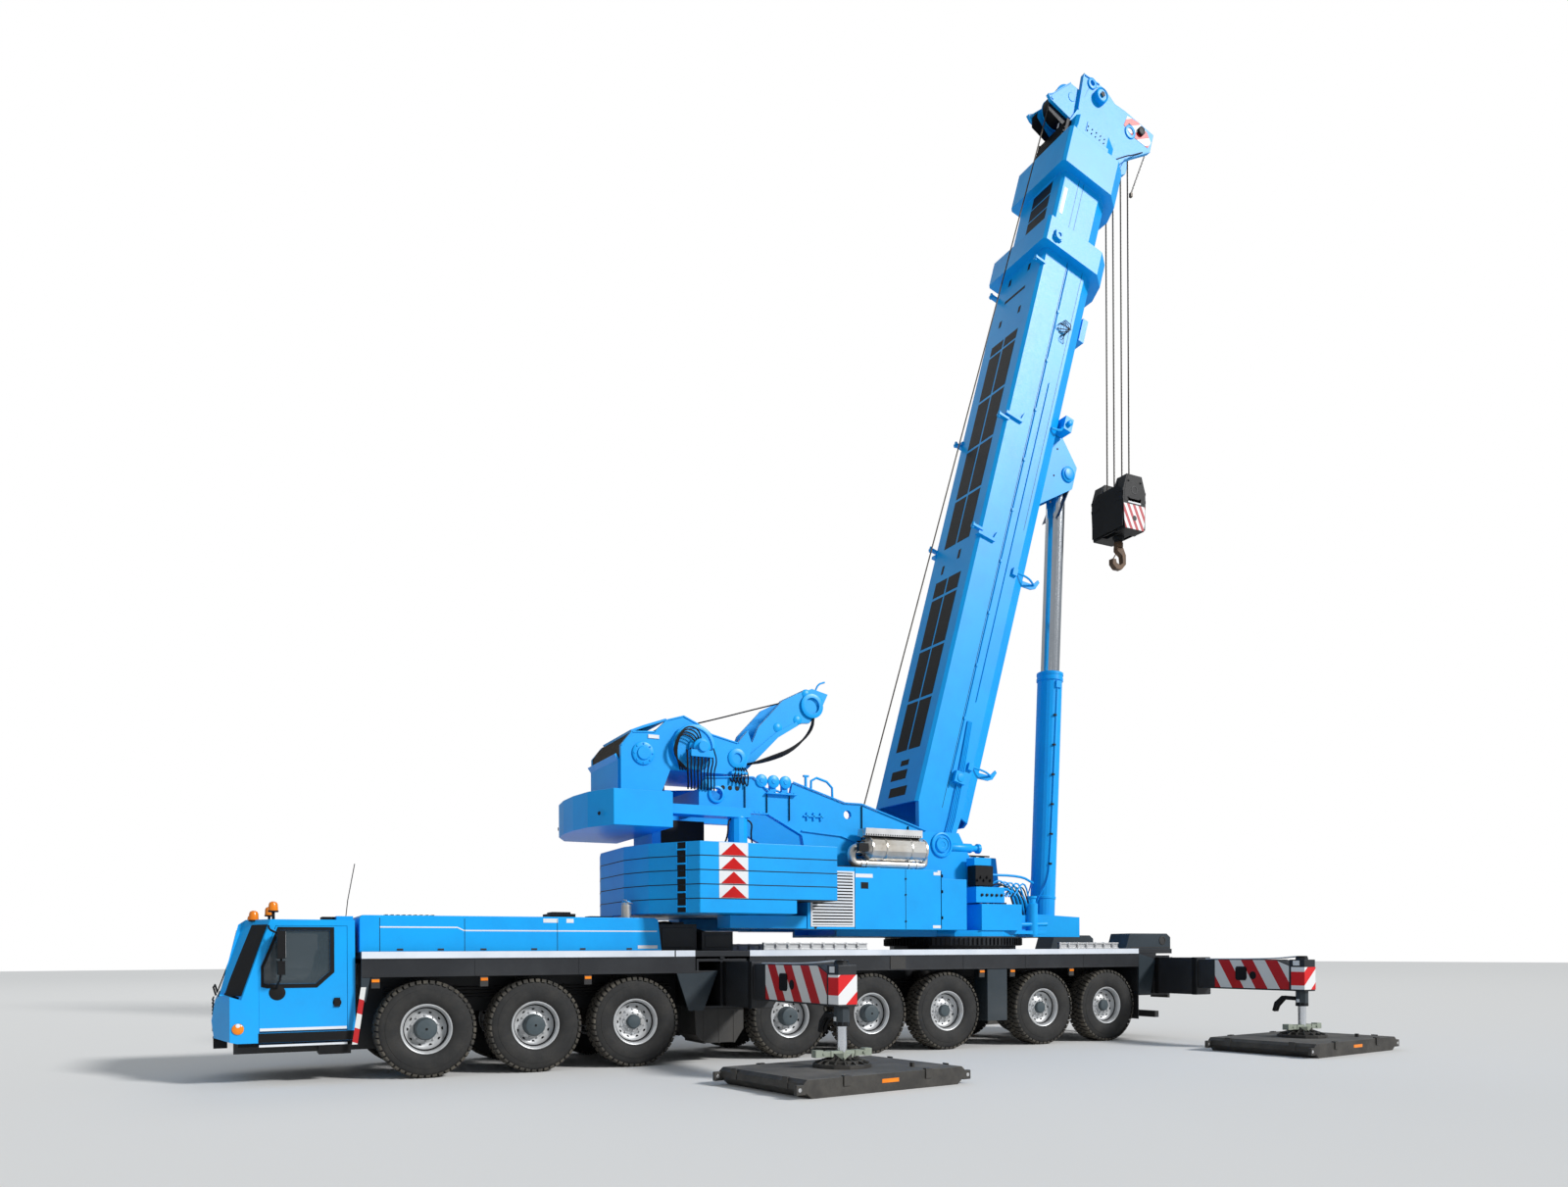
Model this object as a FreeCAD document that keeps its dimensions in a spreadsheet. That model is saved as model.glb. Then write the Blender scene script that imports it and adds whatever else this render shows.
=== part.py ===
import FreeCAD, Part
import math
import os

import Sketcher
from FreeCAD import Placement, Rotation, Vector

# Eight-axle mobile crane on its outriggers, boom raised. Millimetres and degrees.
# x runs from the front axle towards the rear, y to the right-hand side, z up from the ground.
doc = FreeCAD.newDocument("mobile_crane")
sheet = doc.addObject("Spreadsheet::Sheet", "Sizes")

# name, value, what it measures
SIZES = (
    ("tyre_diameter", 1490, "outside diameter of a tyre"),
    ("tyre_width", 445, "tyre, side to side"),
    ("rim_diameter", 720, "seat of the tyre on its rim"),
    ("track_outer", 3000, "outer face to outer face of the tyres of one axle"),
    ("axle_pitch", 1665, "axle to axle in the front group"),
    ("rear_pitch", 1700, "axle to axle behind the front group"),
    ("front_group_gap", 2890, "third axle to fourth axle"),
    ("rear_group_gap", 2360, "sixth axle to seventh axle"),
    ("kingpin_half_track", 1000, "centre line to a kingpin"),
    ("kingpin_radius", 90, "barrel of a steering knuckle"),
    ("kingpin_length", 390, "height of that barrel"),
    ("stub_radius", 80, "stub axle that carries a wheel"),
    ("axle_radius", 115, "axle tube"),
    ("run_gap", 5, "running clearance of moving pieces"),
    ("seat_gap", 0.4, "clearance of a pin, a guide or a seat"),
    ("frame_width", 900, "main frame box"),
    ("frame_bottom", 950, "underside of the main frame"),
    ("frame_top", 1750, "top of the main frame"),
    ("frame_front", -880, "front end of the main frame, from the front axle"),
    ("nose_front", -2620, "front end of the low frame under the cab"),
    ("nose_bottom", 400, "underside of the low frame"),
    ("beam_width", 400, "first stage of an outrigger beam, along the crane"),
    ("beam_height", 760, "first stage of an outrigger beam, upright"),
    ("beam_bottom", 975, "underside of that stage"),
    ("arm_width", 300, "second stage of an outrigger beam, along the crane"),
    ("arm_height", 590, "second stage, upright"),
    ("arm_bottom", 1110, "underside of the second stage"),
    ("first_stage_end", 2600, "centre line to the mouth of the first stage"),
    ("box_wall", 40, "wall of an outrigger box"),
    ("tow_jaw_reach", 120, "rear face of the frame to the tow pin"),
    ("tow_jaw_height", 160, "tow jaw, upright"),
    ("tow_pin_radius", 25, "hole for the tow pin"),
    ("jib_pin_radius", 50, "hole for a jib pin in the boom head"),
    ("box_half_length", 1450, "outrigger box, centre line to mouth"),
    ("front_box_x", 4900, "middle of the front outrigger box"),
    ("rear_box_x", 15030, "middle of the rear outrigger box"),
    ("jack_spread", 5180, "centre line to a front jack"),
    ("rear_jack_spread", 4900, "centre line to a rear jack"),
    ("beam_tip", 170, "beam beyond the jack's centre"),
    ("beam_inner_end", 250, "centre line to the inner end of an extended beam"),
    ("jack_radius", 105, "jack sleeve"),
    ("jack_top", 1735, "top of a jack sleeve"),
    ("jack_bottom", 830, "lower end of a jack sleeve"),
    ("ram_radius", 72, "rod of a jack"),
    ("foot_radius", 420, "foot of a jack"),
    ("foot_height", 150, "foot of a jack"),
    ("mat_length", 2850, "support mat, along the crane"),
    ("mat_width", 2050, "support mat, across the crane"),
    ("mat_height", 250, "support mat"),
    ("mat_turn", 8, "turn of a mat as it was laid down"),
    ("mat_lug", 110, "lifting lug beyond the end of a mat"),
    ("carrier_width", 3000, "deck and fenders"),
    ("deck_top", 1920, "walking surface of the deck"),
    ("deck_edge", 100, "height of the bright deck edge"),
    ("valance_height", 280, "dark side valance under the deck edge"),
    ("panel_thickness", 30, "sheet side panels"),
    ("cab_front", -2900, "foremost point of the cab, from the front axle"),
    ("cab_rear", -1000, "back wall of the cab"),
    ("cab_width", 2700, "driver's cab"),
    ("cab_bottom", 620, "underside of the cab shell"),
    ("cab_top", 2400, "cab roof"),
    ("cab_wall", 60, "cab panels and doors"),
    ("pane_thickness", 12, "window panes"),
    ("cover_front", -930, "front of the engine cover"),
    ("cover_rear", 3820, "rear foot of the engine cover"),
    ("cover_top", 2480, "top of the engine cover"),
    ("cover_width", 2500, "engine cover"),
    ("cover_wall", 30, "engine cover panels"),
    ("cover_trough", 130, "depth of the channel that takes the boom's bracket"),
    ("slew_x", 10800, "slewing axis, from the front axle"),
    ("ring_radius", 1400, "toothed slewing ring"),
    ("ring_bottom", 2000, "lower face of the slewing ring"),
    ("ring_height", 180, "slewing ring"),
    ("pivot_x", 9900, "boom pivot, from the front axle"),
    ("pivot_z", 4000, "boom pivot above the ground"),
    ("boom_angle", 74.3, "boom above the horizontal"),
    ("pin_radius", 150, "boom pivot pin"),
    ("side_plate", 90, "side plates of the turntable"),
    ("boom_clearance", 30, "boom to side plate"),
    ("boom_width", 1560, "base section"),
    ("boom_rise", 730, "pivot to the top face of the base section"),
    ("boom_drop", 860, "pivot to the belly of the base section"),
    ("boom_wall", 40, "wall of the base section"),
    ("base_length", 13600, "pivot to the mouth of the base section"),
    ("section_step", 60, "each telescope is this much smaller all round"),
    ("section_wall", 30, "wall of a telescope"),
    ("collar_length", 550, "collar at the mouth of the base section"),
    ("tele_collar", 850, "collar at the mouth of the first telescope"),
    ("collar_height", 180, "collar above the section's faces"),
    ("tele_out", 2250, "first telescope beyond the base section"),
    ("tele_inside", 1500, "pivot to the inner end of the first telescope"),
    ("head_out", 600, "head section beyond the first telescope"),
    ("sheave_radius", 225, "head and hook sheaves"),
    ("sheave_out", 1405, "mouth of the first telescope to the head sheave pin"),
    ("sheave_drop", 967, "boom line to the head sheave pin"),
    ("lift_foot_x", 13200, "foot pin of the lift cylinder"),
    ("lift_foot_z", 2460, "foot pin above the ground"),
    ("lift_eye_along", 8996, "pivot to the rod eye, along the boom"),
    ("lift_eye_drop", 1390, "boom line to the rod eye"),
    ("barrel_radius", 265, "lift cylinder barrel"),
    ("barrel_wall", 25, "its wall"),
    ("barrel_length", 5540, "foot pin to the barrel's mouth"),
    ("rod_radius", 200, "lift cylinder rod"),
    ("rod_length", 5500, "rod eye to the piston end"),
    ("eye_radius", 160, "eye of the rod and of the barrel"),
    ("foot_pin_radius", 110, "foot pin of the lift cylinder"),
    ("bracket_gap", 15, "barrel to the plates that hold its pins"),
    ("hook_pin_z", 12300, "hook block sheave pin above the ground"),
    ("rope_radius", 14, "hoist rope"),
    ("rope_spread", 110, "centre plane to a pair of rope falls"),
    ("slab_height", 235, "one counterweight slab"),
    ("slab_gap", 0.4, "between two slabs"),
    ("stack_bottom", 2545, "underside of the counterweight"),
    ("stack_tail_x", 3350, "tail of the counterweight, from the front axle"),
    ("stack_front_x", 6500, "front of the counterweight"),
    ("stack_half_width", 2180, "centre line to the side of the counterweight"),
    ("wing_front_x", 6790, "front of the counterweight's side wings"),
    ("ballast_bottom", 4000, "underside of the upper ballast"),
    ("ballast_height", 600, "upper ballast"),
    ("house_height", 1140, "engine house of the superstructure"),
)

names = {}


class Size:
    """A number together with the sheet formula that gives it."""

    def __init__(self, number, text):
        self.number = number
        self.text = text

    def __add__(self, other):
        return combine(self, other, "+", self.number + number(other))

    def __radd__(self, other):
        return combine(other, self, "+", number(other) + self.number)

    def __sub__(self, other):
        return combine(self, other, "-", self.number - number(other))

    def __rsub__(self, other):
        return combine(other, self, "-", number(other) - self.number)

    def __mul__(self, other):
        return combine(self, other, "*", self.number * number(other))

    def __rmul__(self, other):
        return combine(other, self, "*", number(other) * self.number)

    def __truediv__(self, other):
        return combine(self, other, "/", self.number / number(other))

    def __neg__(self):
        return combine(0, self, "-", -self.number)


def number(value):
    return value.number if isinstance(value, Size) else float(value)


def formula(value):
    return value.text if isinstance(value, Size) else "(%.9g)" % value


def combine(left, right, sign, result):
    return Size(result, "(%s %s %s)" % (formula(left), sign, formula(right)))


def sine(angle):
    return Size(math.sin(math.radians(number(angle))), "sin(%s)" % formula(angle))


def cosine(angle):
    return Size(math.cos(math.radians(number(angle))), "cos(%s)" % formula(angle))


def heading(rise, run):
    """The angle of a line from the horizontal."""
    angle = math.degrees(math.atan2(number(rise), number(run)))
    return Size(angle, "atan2(%s; %s)" % (formula(rise), formula(run)))


class Dimensions:
    pass


d = Dimensions()
for row, (alias, value, words) in enumerate(SIZES, start=1):
    sheet.set("A%d" % row, words)
    sheet.set("B%d" % row, str(value))
    sheet.setAlias("B%d" % row, alias)
    setattr(d, alias, Size(float(value), "Sizes." + alias))
doc.recompute()


def unique(name):
    """Names of the construction objects count up: plate, plate_2, plate_3."""
    names[name] = names.get(name, 0) + 1
    return name if names[name] == 1 else "%s_%d" % (name, names[name])


def bind(thing, path, value):
    if isinstance(value, Size):
        thing.setExpression(path, value.text)
    elif not path.startswith("Placement"):
        setattr(thing, path, value)


def place(thing, at=(0, 0, 0), axis=(0, 0, 1), angle=0):
    thing.Placement = Placement(Vector(*[number(v) for v in at]), Rotation(Vector(*axis), number(angle)))
    for letter, value in zip("xyz", at):
        bind(thing, "Placement.Base." + letter, value)
    bind(thing, "Placement.Rotation.Angle", angle)
    return thing


def span(name, low, high):
    """A box from its low corner to its high corner."""
    box = doc.addObject("Part::Box", unique(name))
    for side, start, end in zip(("Length", "Width", "Height"), low, high):
        bind(box, side, end - start)
    return place(box, low)


TURNS = {"z": ((0, 0, 1), 0), "x": ((0, 1, 0), 90), "y": ((-1, 0, 0), 90)}


def prism(name, radius, length, at, along="z", sides=16):
    """A many-sided bar whose flats are its radius away from its axis."""
    bar = doc.addObject("Part::Prism", unique(name))
    bar.Polygon = sides
    bind(bar, "Circumradius", radius / math.cos(math.pi / sides))
    bind(bar, "Height", length)
    axis, angle = TURNS[along]
    spin = Rotation(Vector(*axis), angle).multiply(Rotation(Vector(0, 0, 1), 180 / sides))
    bar.Placement = Placement(Vector(*[number(v) for v in at]), spin)
    for letter, value in zip("xyz", at):
        bind(bar, "Placement.Base." + letter, value)
    return bar


def pin_bar(name, radius, length, at, along="z", sides=12):
    """A many-sided pin whose corners just clear a hole of a slightly larger radius."""
    bar = prism(name, radius * math.cos(math.pi / sides), length, at, along, sides)
    axis, angle = TURNS[along]
    bar.Placement = Placement(bar.Placement.Base, Rotation(Vector(*axis), angle))
    return bar


def round_bar(name, radius, length, at, along="z"):
    bar = doc.addObject("Part::Cylinder", unique(name))
    bind(bar, "Radius", radius)
    bind(bar, "Height", length)
    axis, angle = TURNS[along]
    return place(bar, at, axis, angle)


def plate(name, plane, outline, thickness, at=(0, 0, 0)):
    """A padded sketch. XZ plates grow towards +y, XY plates up, YZ plates towards +x."""
    body = doc.addObject("PartDesign::Body", unique(name))
    sketch = body.newObject("Sketcher::SketchObject", body.Name + "_outline")
    base = [o for o in body.Origin.OriginFeatures if o.Role == plane + "_Plane"][0]
    sketch.AttachmentSupport = (base, "")
    sketch.MapMode = "FlatFace"
    corners = [Vector(number(u), number(v), 0) for u, v in outline]
    count = len(corners)
    for i in range(count):
        sketch.addGeometry(Part.LineSegment(corners[i], corners[(i + 1) % count]), False)
    for i in range(count):
        sketch.addConstraint(Sketcher.Constraint("Coincident", i, 2, (i + 1) % count, 1))
    for i, corner in enumerate(outline):
        for kind, value in zip(("DistanceX", "DistanceY"), corner):
            held = sketch.addConstraint(Sketcher.Constraint(kind, -1, 1, i, 1, number(value)))
            if isinstance(value, Size):
                sketch.setExpression("Constraints[%d]" % held, value.text)
    pad = body.newObject("PartDesign::Pad", body.Name + "_pad")
    pad.Profile = sketch
    pad.Reversed = plane == "XZ"
    bind(pad, "Length", thickness)
    sketch.Visibility = False
    return place(body, at)


def fuse(name, pieces):
    joined = doc.addObject("Part::MultiFuse", unique(name))
    joined.Shapes = pieces
    joined.Refine = True
    return joined


def cut(name, piece, tools):
    tool = tools[0]
    if len(tools) > 1:
        tool = doc.addObject("Part::Compound", unique(name + "_tools"))
        tool.Links = tools
    rest = doc.addObject("Part::Cut", unique(name))
    rest.Base = piece
    rest.Tool = tool
    rest.Refine = True
    return rest


def copy(name, piece, at=(0, 0, 0), axis=(0, 0, 1), angle=0):
    """The same piece again in another place."""
    again = doc.addObject("Part::Compound", unique(name))
    again.Links = [piece]
    return place(again, at, axis, angle)


# The row's origin is on the ground, midway between the cab's front and the rear mats.
beam_apart = (d.beam_width + d.box_wall) / 2 + d.run_gap
rear_end = (d.rear_box_x + beam_apart + (d.mat_length / 2 + d.mat_lug) * cosine(d.mat_turn)
            + d.mat_width / 2 * sine(d.mat_turn))
mid_x = (rear_end + d.cab_front) / 2
nodes = []


def node(label, pieces, at=(0, 0, 0), axis=(0, 0, 1), angle=0):
    """One sub-part of the crane, moved from the front axle's frame to the row's origin."""
    part = doc.addObject("Part::Compound", label)
    part.Label = label
    part.Links = pieces
    place(part, (at[0] - mid_x, at[1], at[2]), axis, angle)
    nodes.append(part)
    return part


# Axles, counted from the front.
axle_x = [Size(0.0, "0")]
for gap in (d.axle_pitch, d.axle_pitch, d.front_group_gap, d.rear_pitch, d.rear_pitch,
            d.rear_group_gap, d.rear_pitch):
    axle_x.append(axle_x[-1] + gap)
STEERED = (1, 2, 3, 4, 7, 8)
DRIVEN = (1, 2, 4, 5)
wheel_radius = d.tyre_diameter / 2
wheel_face = d.track_outer / 2 - d.tyre_width
SIDES = (("left", -1), ("right", 1))


def tyre_blank(sides, chamfer):
    """A many-sided drum with both rims bevelled."""
    drum = prism("tyre_drum", wheel_radius, d.tyre_width, (0, 0, 0), "y", sides)
    doc.recompute()
    rims = [k for k, edge in enumerate(drum.Shape.Edges, start=1)
            if abs(edge.Vertexes[0].Y - edge.Vertexes[1].Y) < 0.001]
    bevelled = doc.addObject("Part::Chamfer", unique("tyre_casing"))
    bevelled.Base = drum
    bevelled.Edges = [(k, chamfer, chamfer) for k in rims]
    return bevelled


def make_wheels():
    wide = d.tyre_width
    rim_radius = d.rim_diameter / 2
    tyre = cut("tyre", tyre_blank(20, 62), [prism("tyre_seat", rim_radius, wide, (0, 0, 0), "y", 12)])
    rim_band = prism("rim_band", rim_radius - d.seat_gap, 0.86 * wide, (0, 0.07 * wide, 0), "y", 12)
    back_well = prism("rim_back_well", rim_radius - 30, 0.43 * wide, (0, 0.07 * wide, 0), "y", 12)
    hub_bore = prism("hub_bore", d.stub_radius + d.seat_gap, 0.62 * wide, (0, 0.1 * wide, 0), "y", 8)
    # style of wheel, depth of its dish, face of its hub, both as shares of the tyre's width
    for style, dish, reach in (("driven", 0.62, 0.95), ("plain", 0.6, 0.84)):
        front_well = prism("rim_front_well", rim_radius - 30, wide, (0, dish * wide, 0), "y", 12)
        hub = prism("hub_" + style, d.stub_radius * 1.9, (reach - 0.5) * wide, (0, 0.5 * wide, 0), "y", 8)
        dished = cut("rim_dish", rim_band, [back_well, front_well])
        rim = cut("rim_" + style, fuse("rim_with_hub", [dished, hub]), [hub_bore])
        for axle in range(1, 9):
            if (axle in DRIVEN) != (style == "driven"):
                continue
            for side, sign in SIDES:
                angle = 180 if sign < 0 else 0
                node("wheel_%d_%s" % (axle, side), [tyre, rim],
                     (axle_x[axle - 1], wheel_face * sign, wheel_radius), (0, 0, 1), angle)


def stub(name, start):
    """Hub drum and stub axle, from a place on the axle line out into the wheel."""
    face = wheel_face - start
    drum = prism(name + "_drum", d.stub_radius * 2.6, 0.35 * d.tyre_width,
                 (0, face + 0.1 * d.tyre_width, 0), "y", 8)
    pin = pin_bar(name + "_pin", d.stub_radius, face + 0.68 * d.tyre_width, (0, 0, 0), "y", 8)
    return [drum, pin]


def make_knuckles():
    half = d.kingpin_length / 2
    barrel = pin_bar("kingpin_barrel", d.kingpin_radius, d.kingpin_length, (0, 0, -half), "z", 8)
    arm = span("steering_arm", (0, -30, -half), (340, 30, -half + 50))
    knuckle = fuse("knuckle", [barrel, arm] + stub("knuckle", d.kingpin_half_track))
    for axle in STEERED:
        for side, sign in SIDES:
            node("knuckle_%d_%s" % (axle, side), [knuckle],
                 (axle_x[axle - 1], d.kingpin_half_track * sign, wheel_radius),
                 (0, 0, 1), 180 if sign < 0 else 0)


def make_axles():
    half = d.kingpin_length / 2
    fork_in = d.kingpin_half_track - d.kingpin_radius - d.run_gap - 70
    web_out = d.kingpin_half_track - d.kingpin_radius - d.run_gap
    axles = []
    for axle in range(1, 9):
        pieces = []
        if axle in STEERED:
            pieces.append(prism("axle_tube", d.axle_radius, 2 * fork_in + 20, (0, -fork_in - 10, 0), "y", 8))
        else:
            pieces.append(prism("axle_tube", d.axle_radius, 2 * d.kingpin_half_track,
                                (0, -d.kingpin_half_track, 0), "y", 8))
        if axle in DRIVEN:
            pieces.append(prism("differential", d.axle_radius * 1.75, 330, (0, -165, 0), "y", 8))
        for side, sign in SIDES:
            def across(near, far):
                return (near, far) if sign > 0 else (-far, -near)
            if axle in STEERED:
                low, high = across(fork_in, web_out)
                pieces.append(span("fork_web", (-80, low, -half - 50), (80, high, half + 50)))
                low, high = across(fork_in, d.kingpin_half_track + 60)
                for bottom in (half + d.seat_gap, -half - d.seat_gap - 45):
                    pieces.append(span("fork_arm", (-80, low, bottom), (80, high, bottom + 45)))
            else:
                for piece in stub("rigid_stub", d.kingpin_half_track):
                    pieces.append(copy("rigid_hub", piece, (0, d.kingpin_half_track * sign, 0),
                                       (0, 0, 1), 180 if sign < 0 else 0))
            strut_y = (d.frame_width / 2 + 150) * sign
            pieces.append(prism("suspension_strut", 70, d.frame_top - 260 - wheel_radius,
                                (0, strut_y, 0), "z", 6))
            low, high = across(d.frame_width / 2, d.frame_width / 2 + 230)
            top = d.frame_top - 250 - wheel_radius
            pieces.append(span("strut_bracket", (-110, low, top - 180), (110, high, top)))
        axles.append(copy("axle", fuse("axle_beam", pieces), (axle_x[axle - 1], 0, wheel_radius)))
    node("axle_beams", axles)


# Each outrigger box holds a left beam behind a right beam.
BEAM_OFFSETS = {"left": beam_apart, "right": -beam_apart}


def make_chassis():
    half = d.frame_width / 2
    rear = d.rear_box_x + d.beam_width + 90
    main = span("main_frame", (d.frame_front, -half, d.frame_bottom), (rear, half, d.frame_top))
    neck = span("neck_frame", (d.frame_front, -half, d.nose_bottom),
                (d.frame_front + 300, half, d.frame_bottom + 10))
    nose = span("nose_frame", (d.nose_front, -half, d.nose_bottom),
                (d.frame_front - d.seat_gap, half, d.cab_bottom - d.seat_gap))
    pedestal = prism("pedestal", d.ring_radius - 120, d.ring_bottom - d.frame_top + 20,
                     (d.slew_x, 0, d.frame_top - 20), "z", 16)
    ring = prism("slewing_ring", d.ring_radius, d.ring_height, (d.slew_x, 0, d.ring_bottom), "z", 24)
    solids = [main, neck, pedestal, ring]
    tunnels = []
    reach = d.beam_width + 1.5 * d.box_wall + 2 * d.run_gap
    for box_x in (d.front_box_x, d.rear_box_x):
        solids.append(span("outrigger_box",
                           (box_x - reach, -d.box_half_length, d.beam_bottom - d.run_gap - d.box_wall),
                           (box_x + reach, d.box_half_length,
                            d.beam_bottom + d.beam_height + d.run_gap + d.box_wall)))
        for offset in BEAM_OFFSETS.values():
            mid = box_x + offset
            wide = d.beam_width / 2 + d.run_gap
            tunnels.append(span("beam_tunnel",
                                (mid - wide, -d.box_half_length - 10, d.beam_bottom - d.seat_gap),
                                (mid + wide, d.box_half_length + 10,
                                 d.beam_bottom + d.beam_height + d.seat_gap)))
    for sign in (-1, 1):
        low, high = (1080, 1460) if sign > 0 else (-1460, -1080)
        solids.append(span("mud_flap", (d.rear_box_x - reach + 12, low, 430),
                           (d.rear_box_x - reach + 28, high, d.beam_bottom - 40)))
        solids.append(span("underride_bracket", (rear - 60, sign * 380 - 40, 500),
                           (rear, sign * 380 + 40, d.frame_bottom + 20)))
    solids.append(span("underride_beam", (rear - 90, -1100, 420), (rear + 20, 1100, 560)))
    solids.append(span("tow_jaw", (rear - 20, -110, d.frame_bottom + 10),
                       (rear + d.tow_jaw_reach + 90, 110, d.frame_bottom + 10 + d.tow_jaw_height)))
    tunnels.append(round_bar("tow_pin_hole", d.tow_pin_radius, d.tow_jaw_height + 40,
                             (rear + d.tow_jaw_reach, 0, d.frame_bottom - 10)))
    node("chassis_frame", [cut("chassis", fuse("chassis_blank", solids), tunnels), nose])
    engine = span("engine_block", (axle_x[0] + 200, -half + 60, d.deck_top + 30),
                  (axle_x[1] + 60, half - 60, d.cover_top - d.cover_trough - 60))
    sump = span("engine_sump", (axle_x[0] + 400, -half + 160, d.frame_top),
                (axle_x[1] - 100, half - 160, d.deck_top + 40))
    node("carrier_engine", [fuse("engine", [engine, sump])])


def make_deck():
    half = d.carrier_width / 2
    inner = d.frame_width / 2
    under = d.deck_top - d.deck_edge
    valance = under - d.valance_height
    front_box = d.beam_width + 1.5 * d.box_wall + 2 * d.run_gap
    rear_start = d.rear_box_x - front_box
    # start, end of each stretch of deck along the crane
    stretches = ((d.cover_front, d.front_box_x - front_box - 40),
                 (d.front_box_x + front_box + 40, rear_start - 10),
                 (d.front_box_x - front_box - 40, d.front_box_x + front_box + 40),
                 (rear_start - 10, rear_start + 960))
    pieces = []
    for number_in_row, (start, end) in enumerate(stretches):
        lips = []
        for sign in (-1, 1):
            low, high = (inner, half) if sign > 0 else (-half, -inner)
            lips.append(span("deck_plate", (start, low, under), (end, high, d.deck_top)))
            if number_in_row < 2:
                edge = (half - d.panel_thickness, half) if sign > 0 else (-half, -half + d.panel_thickness)
                lips.append(span("valance", (start, edge[0], valance), (end, edge[1], under + 10)))
        bearers = 5 if number_in_row < 2 else 1
        for k in range(bearers):
            x = start + (end - start) * ((k + 0.5) / bearers)
            foot = d.frame_top if number_in_row < 2 else (
                d.beam_bottom + d.beam_height + d.run_gap + d.box_wall + d.seat_gap)
            lips.append(span("deck_bearer", (x - 40, 20 - half, foot), (x + 40, half - 20, under + 20)))
        pieces.append(lips)
    boxes = []
    rear_box = d.rear_box_x - front_box
    for sign in (-1, 1):
        def across(depth, thickness):
            """From the crane's side inwards."""
            return half - depth - thickness if sign > 0 else depth - half
        # the panel between the third wheel and the outrigger, and the one behind the last wheel
        rear_of_panel = 90 if sign < 0 else 480
        boxes.append(plate("front_side_panel", "XZ", (
            (d.front_box_x - 860, valance + 40), (d.front_box_x - rear_of_panel, valance + 40),
            (d.front_box_x - max(rear_of_panel, 360), 900), (d.front_box_x - 630, 900)),
            40, (0, across(5, 40), 0)))
        boxes.append(plate("rear_side_panel", "XZ", [
            (d.rear_box_x + x * sign, z) for x, z in (
                (470, under + 10), (-10, under + 10), (-10, 1700), (130, 950), (470, 950))],
            40, (0, across(5, 40), 0)))
        boxes.append(plate("nose_side_panel", "XZ", (
            (d.cover_front, valance + 20), (d.cover_front + 130, valance + 20),
            (d.cover_front + 60, 1180), (d.cover_front, 1180)), 40, (0, across(5, 40), 0)))
        low, high = (1050, half - 20) if sign > 0 else (20 - half, -1050)
        boxes.append(span("battery_box", (axle_x[5] + 950, low, 520), (axle_x[5] + 1430, high, valance + 20)))
        boxes.append(plate("rear_housing", "XZ", (
            (rear_box - 340, d.deck_top - 10), (rear_box - 220, 2250), (rear_box + 850, 2250),
            (rear_box + 960, 2170), (rear_box + 960, d.deck_top - 10)), 560, (0, across(40, 560), 0)))
    deck = fuse("deck_blank", [piece for lips in pieces for piece in lips] + boxes)
    engine_well = span("engine_well", (axle_x[0] + 150, -inner + 20, d.frame_top - 50),
                       (axle_x[1] + 110, inner - 20, d.deck_top + 10))
    ring_well = prism("ring_well", d.ring_radius + 40, 400, (d.slew_x, 0, d.frame_top - 50), "z", 20)
    node("carrier_deck", [cut("deck", deck, [engine_well, ring_well])])


def make_cover():
    """Engine cover with a channel along its top, which takes the boom's bracket when the boom lies over it."""
    half = d.cover_width / 2
    base = d.deck_top
    wall = d.cover_wall
    skin = plate("cover_skin", "XZ", (
        (d.cover_front, base), (d.cover_rear + 60, base), (d.cover_rear, d.cover_top - 40),
        (d.cover_rear - 60, d.cover_top), (d.cover_front + 40, d.cover_top),
        (d.cover_front, d.cover_top - 40)), d.cover_width, (0, -half, 0))
    channel_start = d.cover_front + 1900
    floor = d.cover_top - d.cover_trough
    channel = span("cover_channel", (channel_start, -420, floor), (d.cover_rear + 100, 420, d.cover_top + 10))
    rooms = [span("cover_room", (d.cover_front + wall, wall - half, base - 20),
                  (channel_start - wall, half - wall, d.cover_top - 40 - wall)),
             span("cover_room", (channel_start - 2 * wall, -420 - wall, base - 20),
                  (d.cover_rear - 2 * wall, 420 + wall, floor - wall))]
    for low, high in ((wall - half, -420 - wall), (420 + wall, half - wall)):
        rooms.append(span("cover_room", (channel_start - 2 * wall, low, base - 20),
                          (d.cover_rear - 2 * wall, high, d.cover_top - 40 - wall)))
    shell = cut("cover_shell", skin, [channel, fuse("cover_inside", rooms)])
    box = span("cover_top_box", (d.cover_front + 2960, 300 - half, d.cover_top - 5),
               (d.cover_front + 3400, 740 - half, d.cover_top + 60))
    pipe = prism("exhaust_pipe", 70, 300, (d.cover_rear - 500, -half + 200, d.cover_top - 10), "z", 8)
    node("engine_cover", [fuse("cover", [shell, box, pipe])])


def corner_wedge(name, sign, reach, low, high):
    """What is cut off a front corner of the cab: from its side wall forward to the flat front."""
    half = d.cab_width / 2
    side = half + 20 if sign > 0 else -half - 20
    flat = (half - 500) * sign
    outline = ((reach * 0.04, side), (-reach, flat), (-1000, flat), (-1000, side))
    return plate(name, "XY", outline, high - low, (0, 0, 0))


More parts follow.
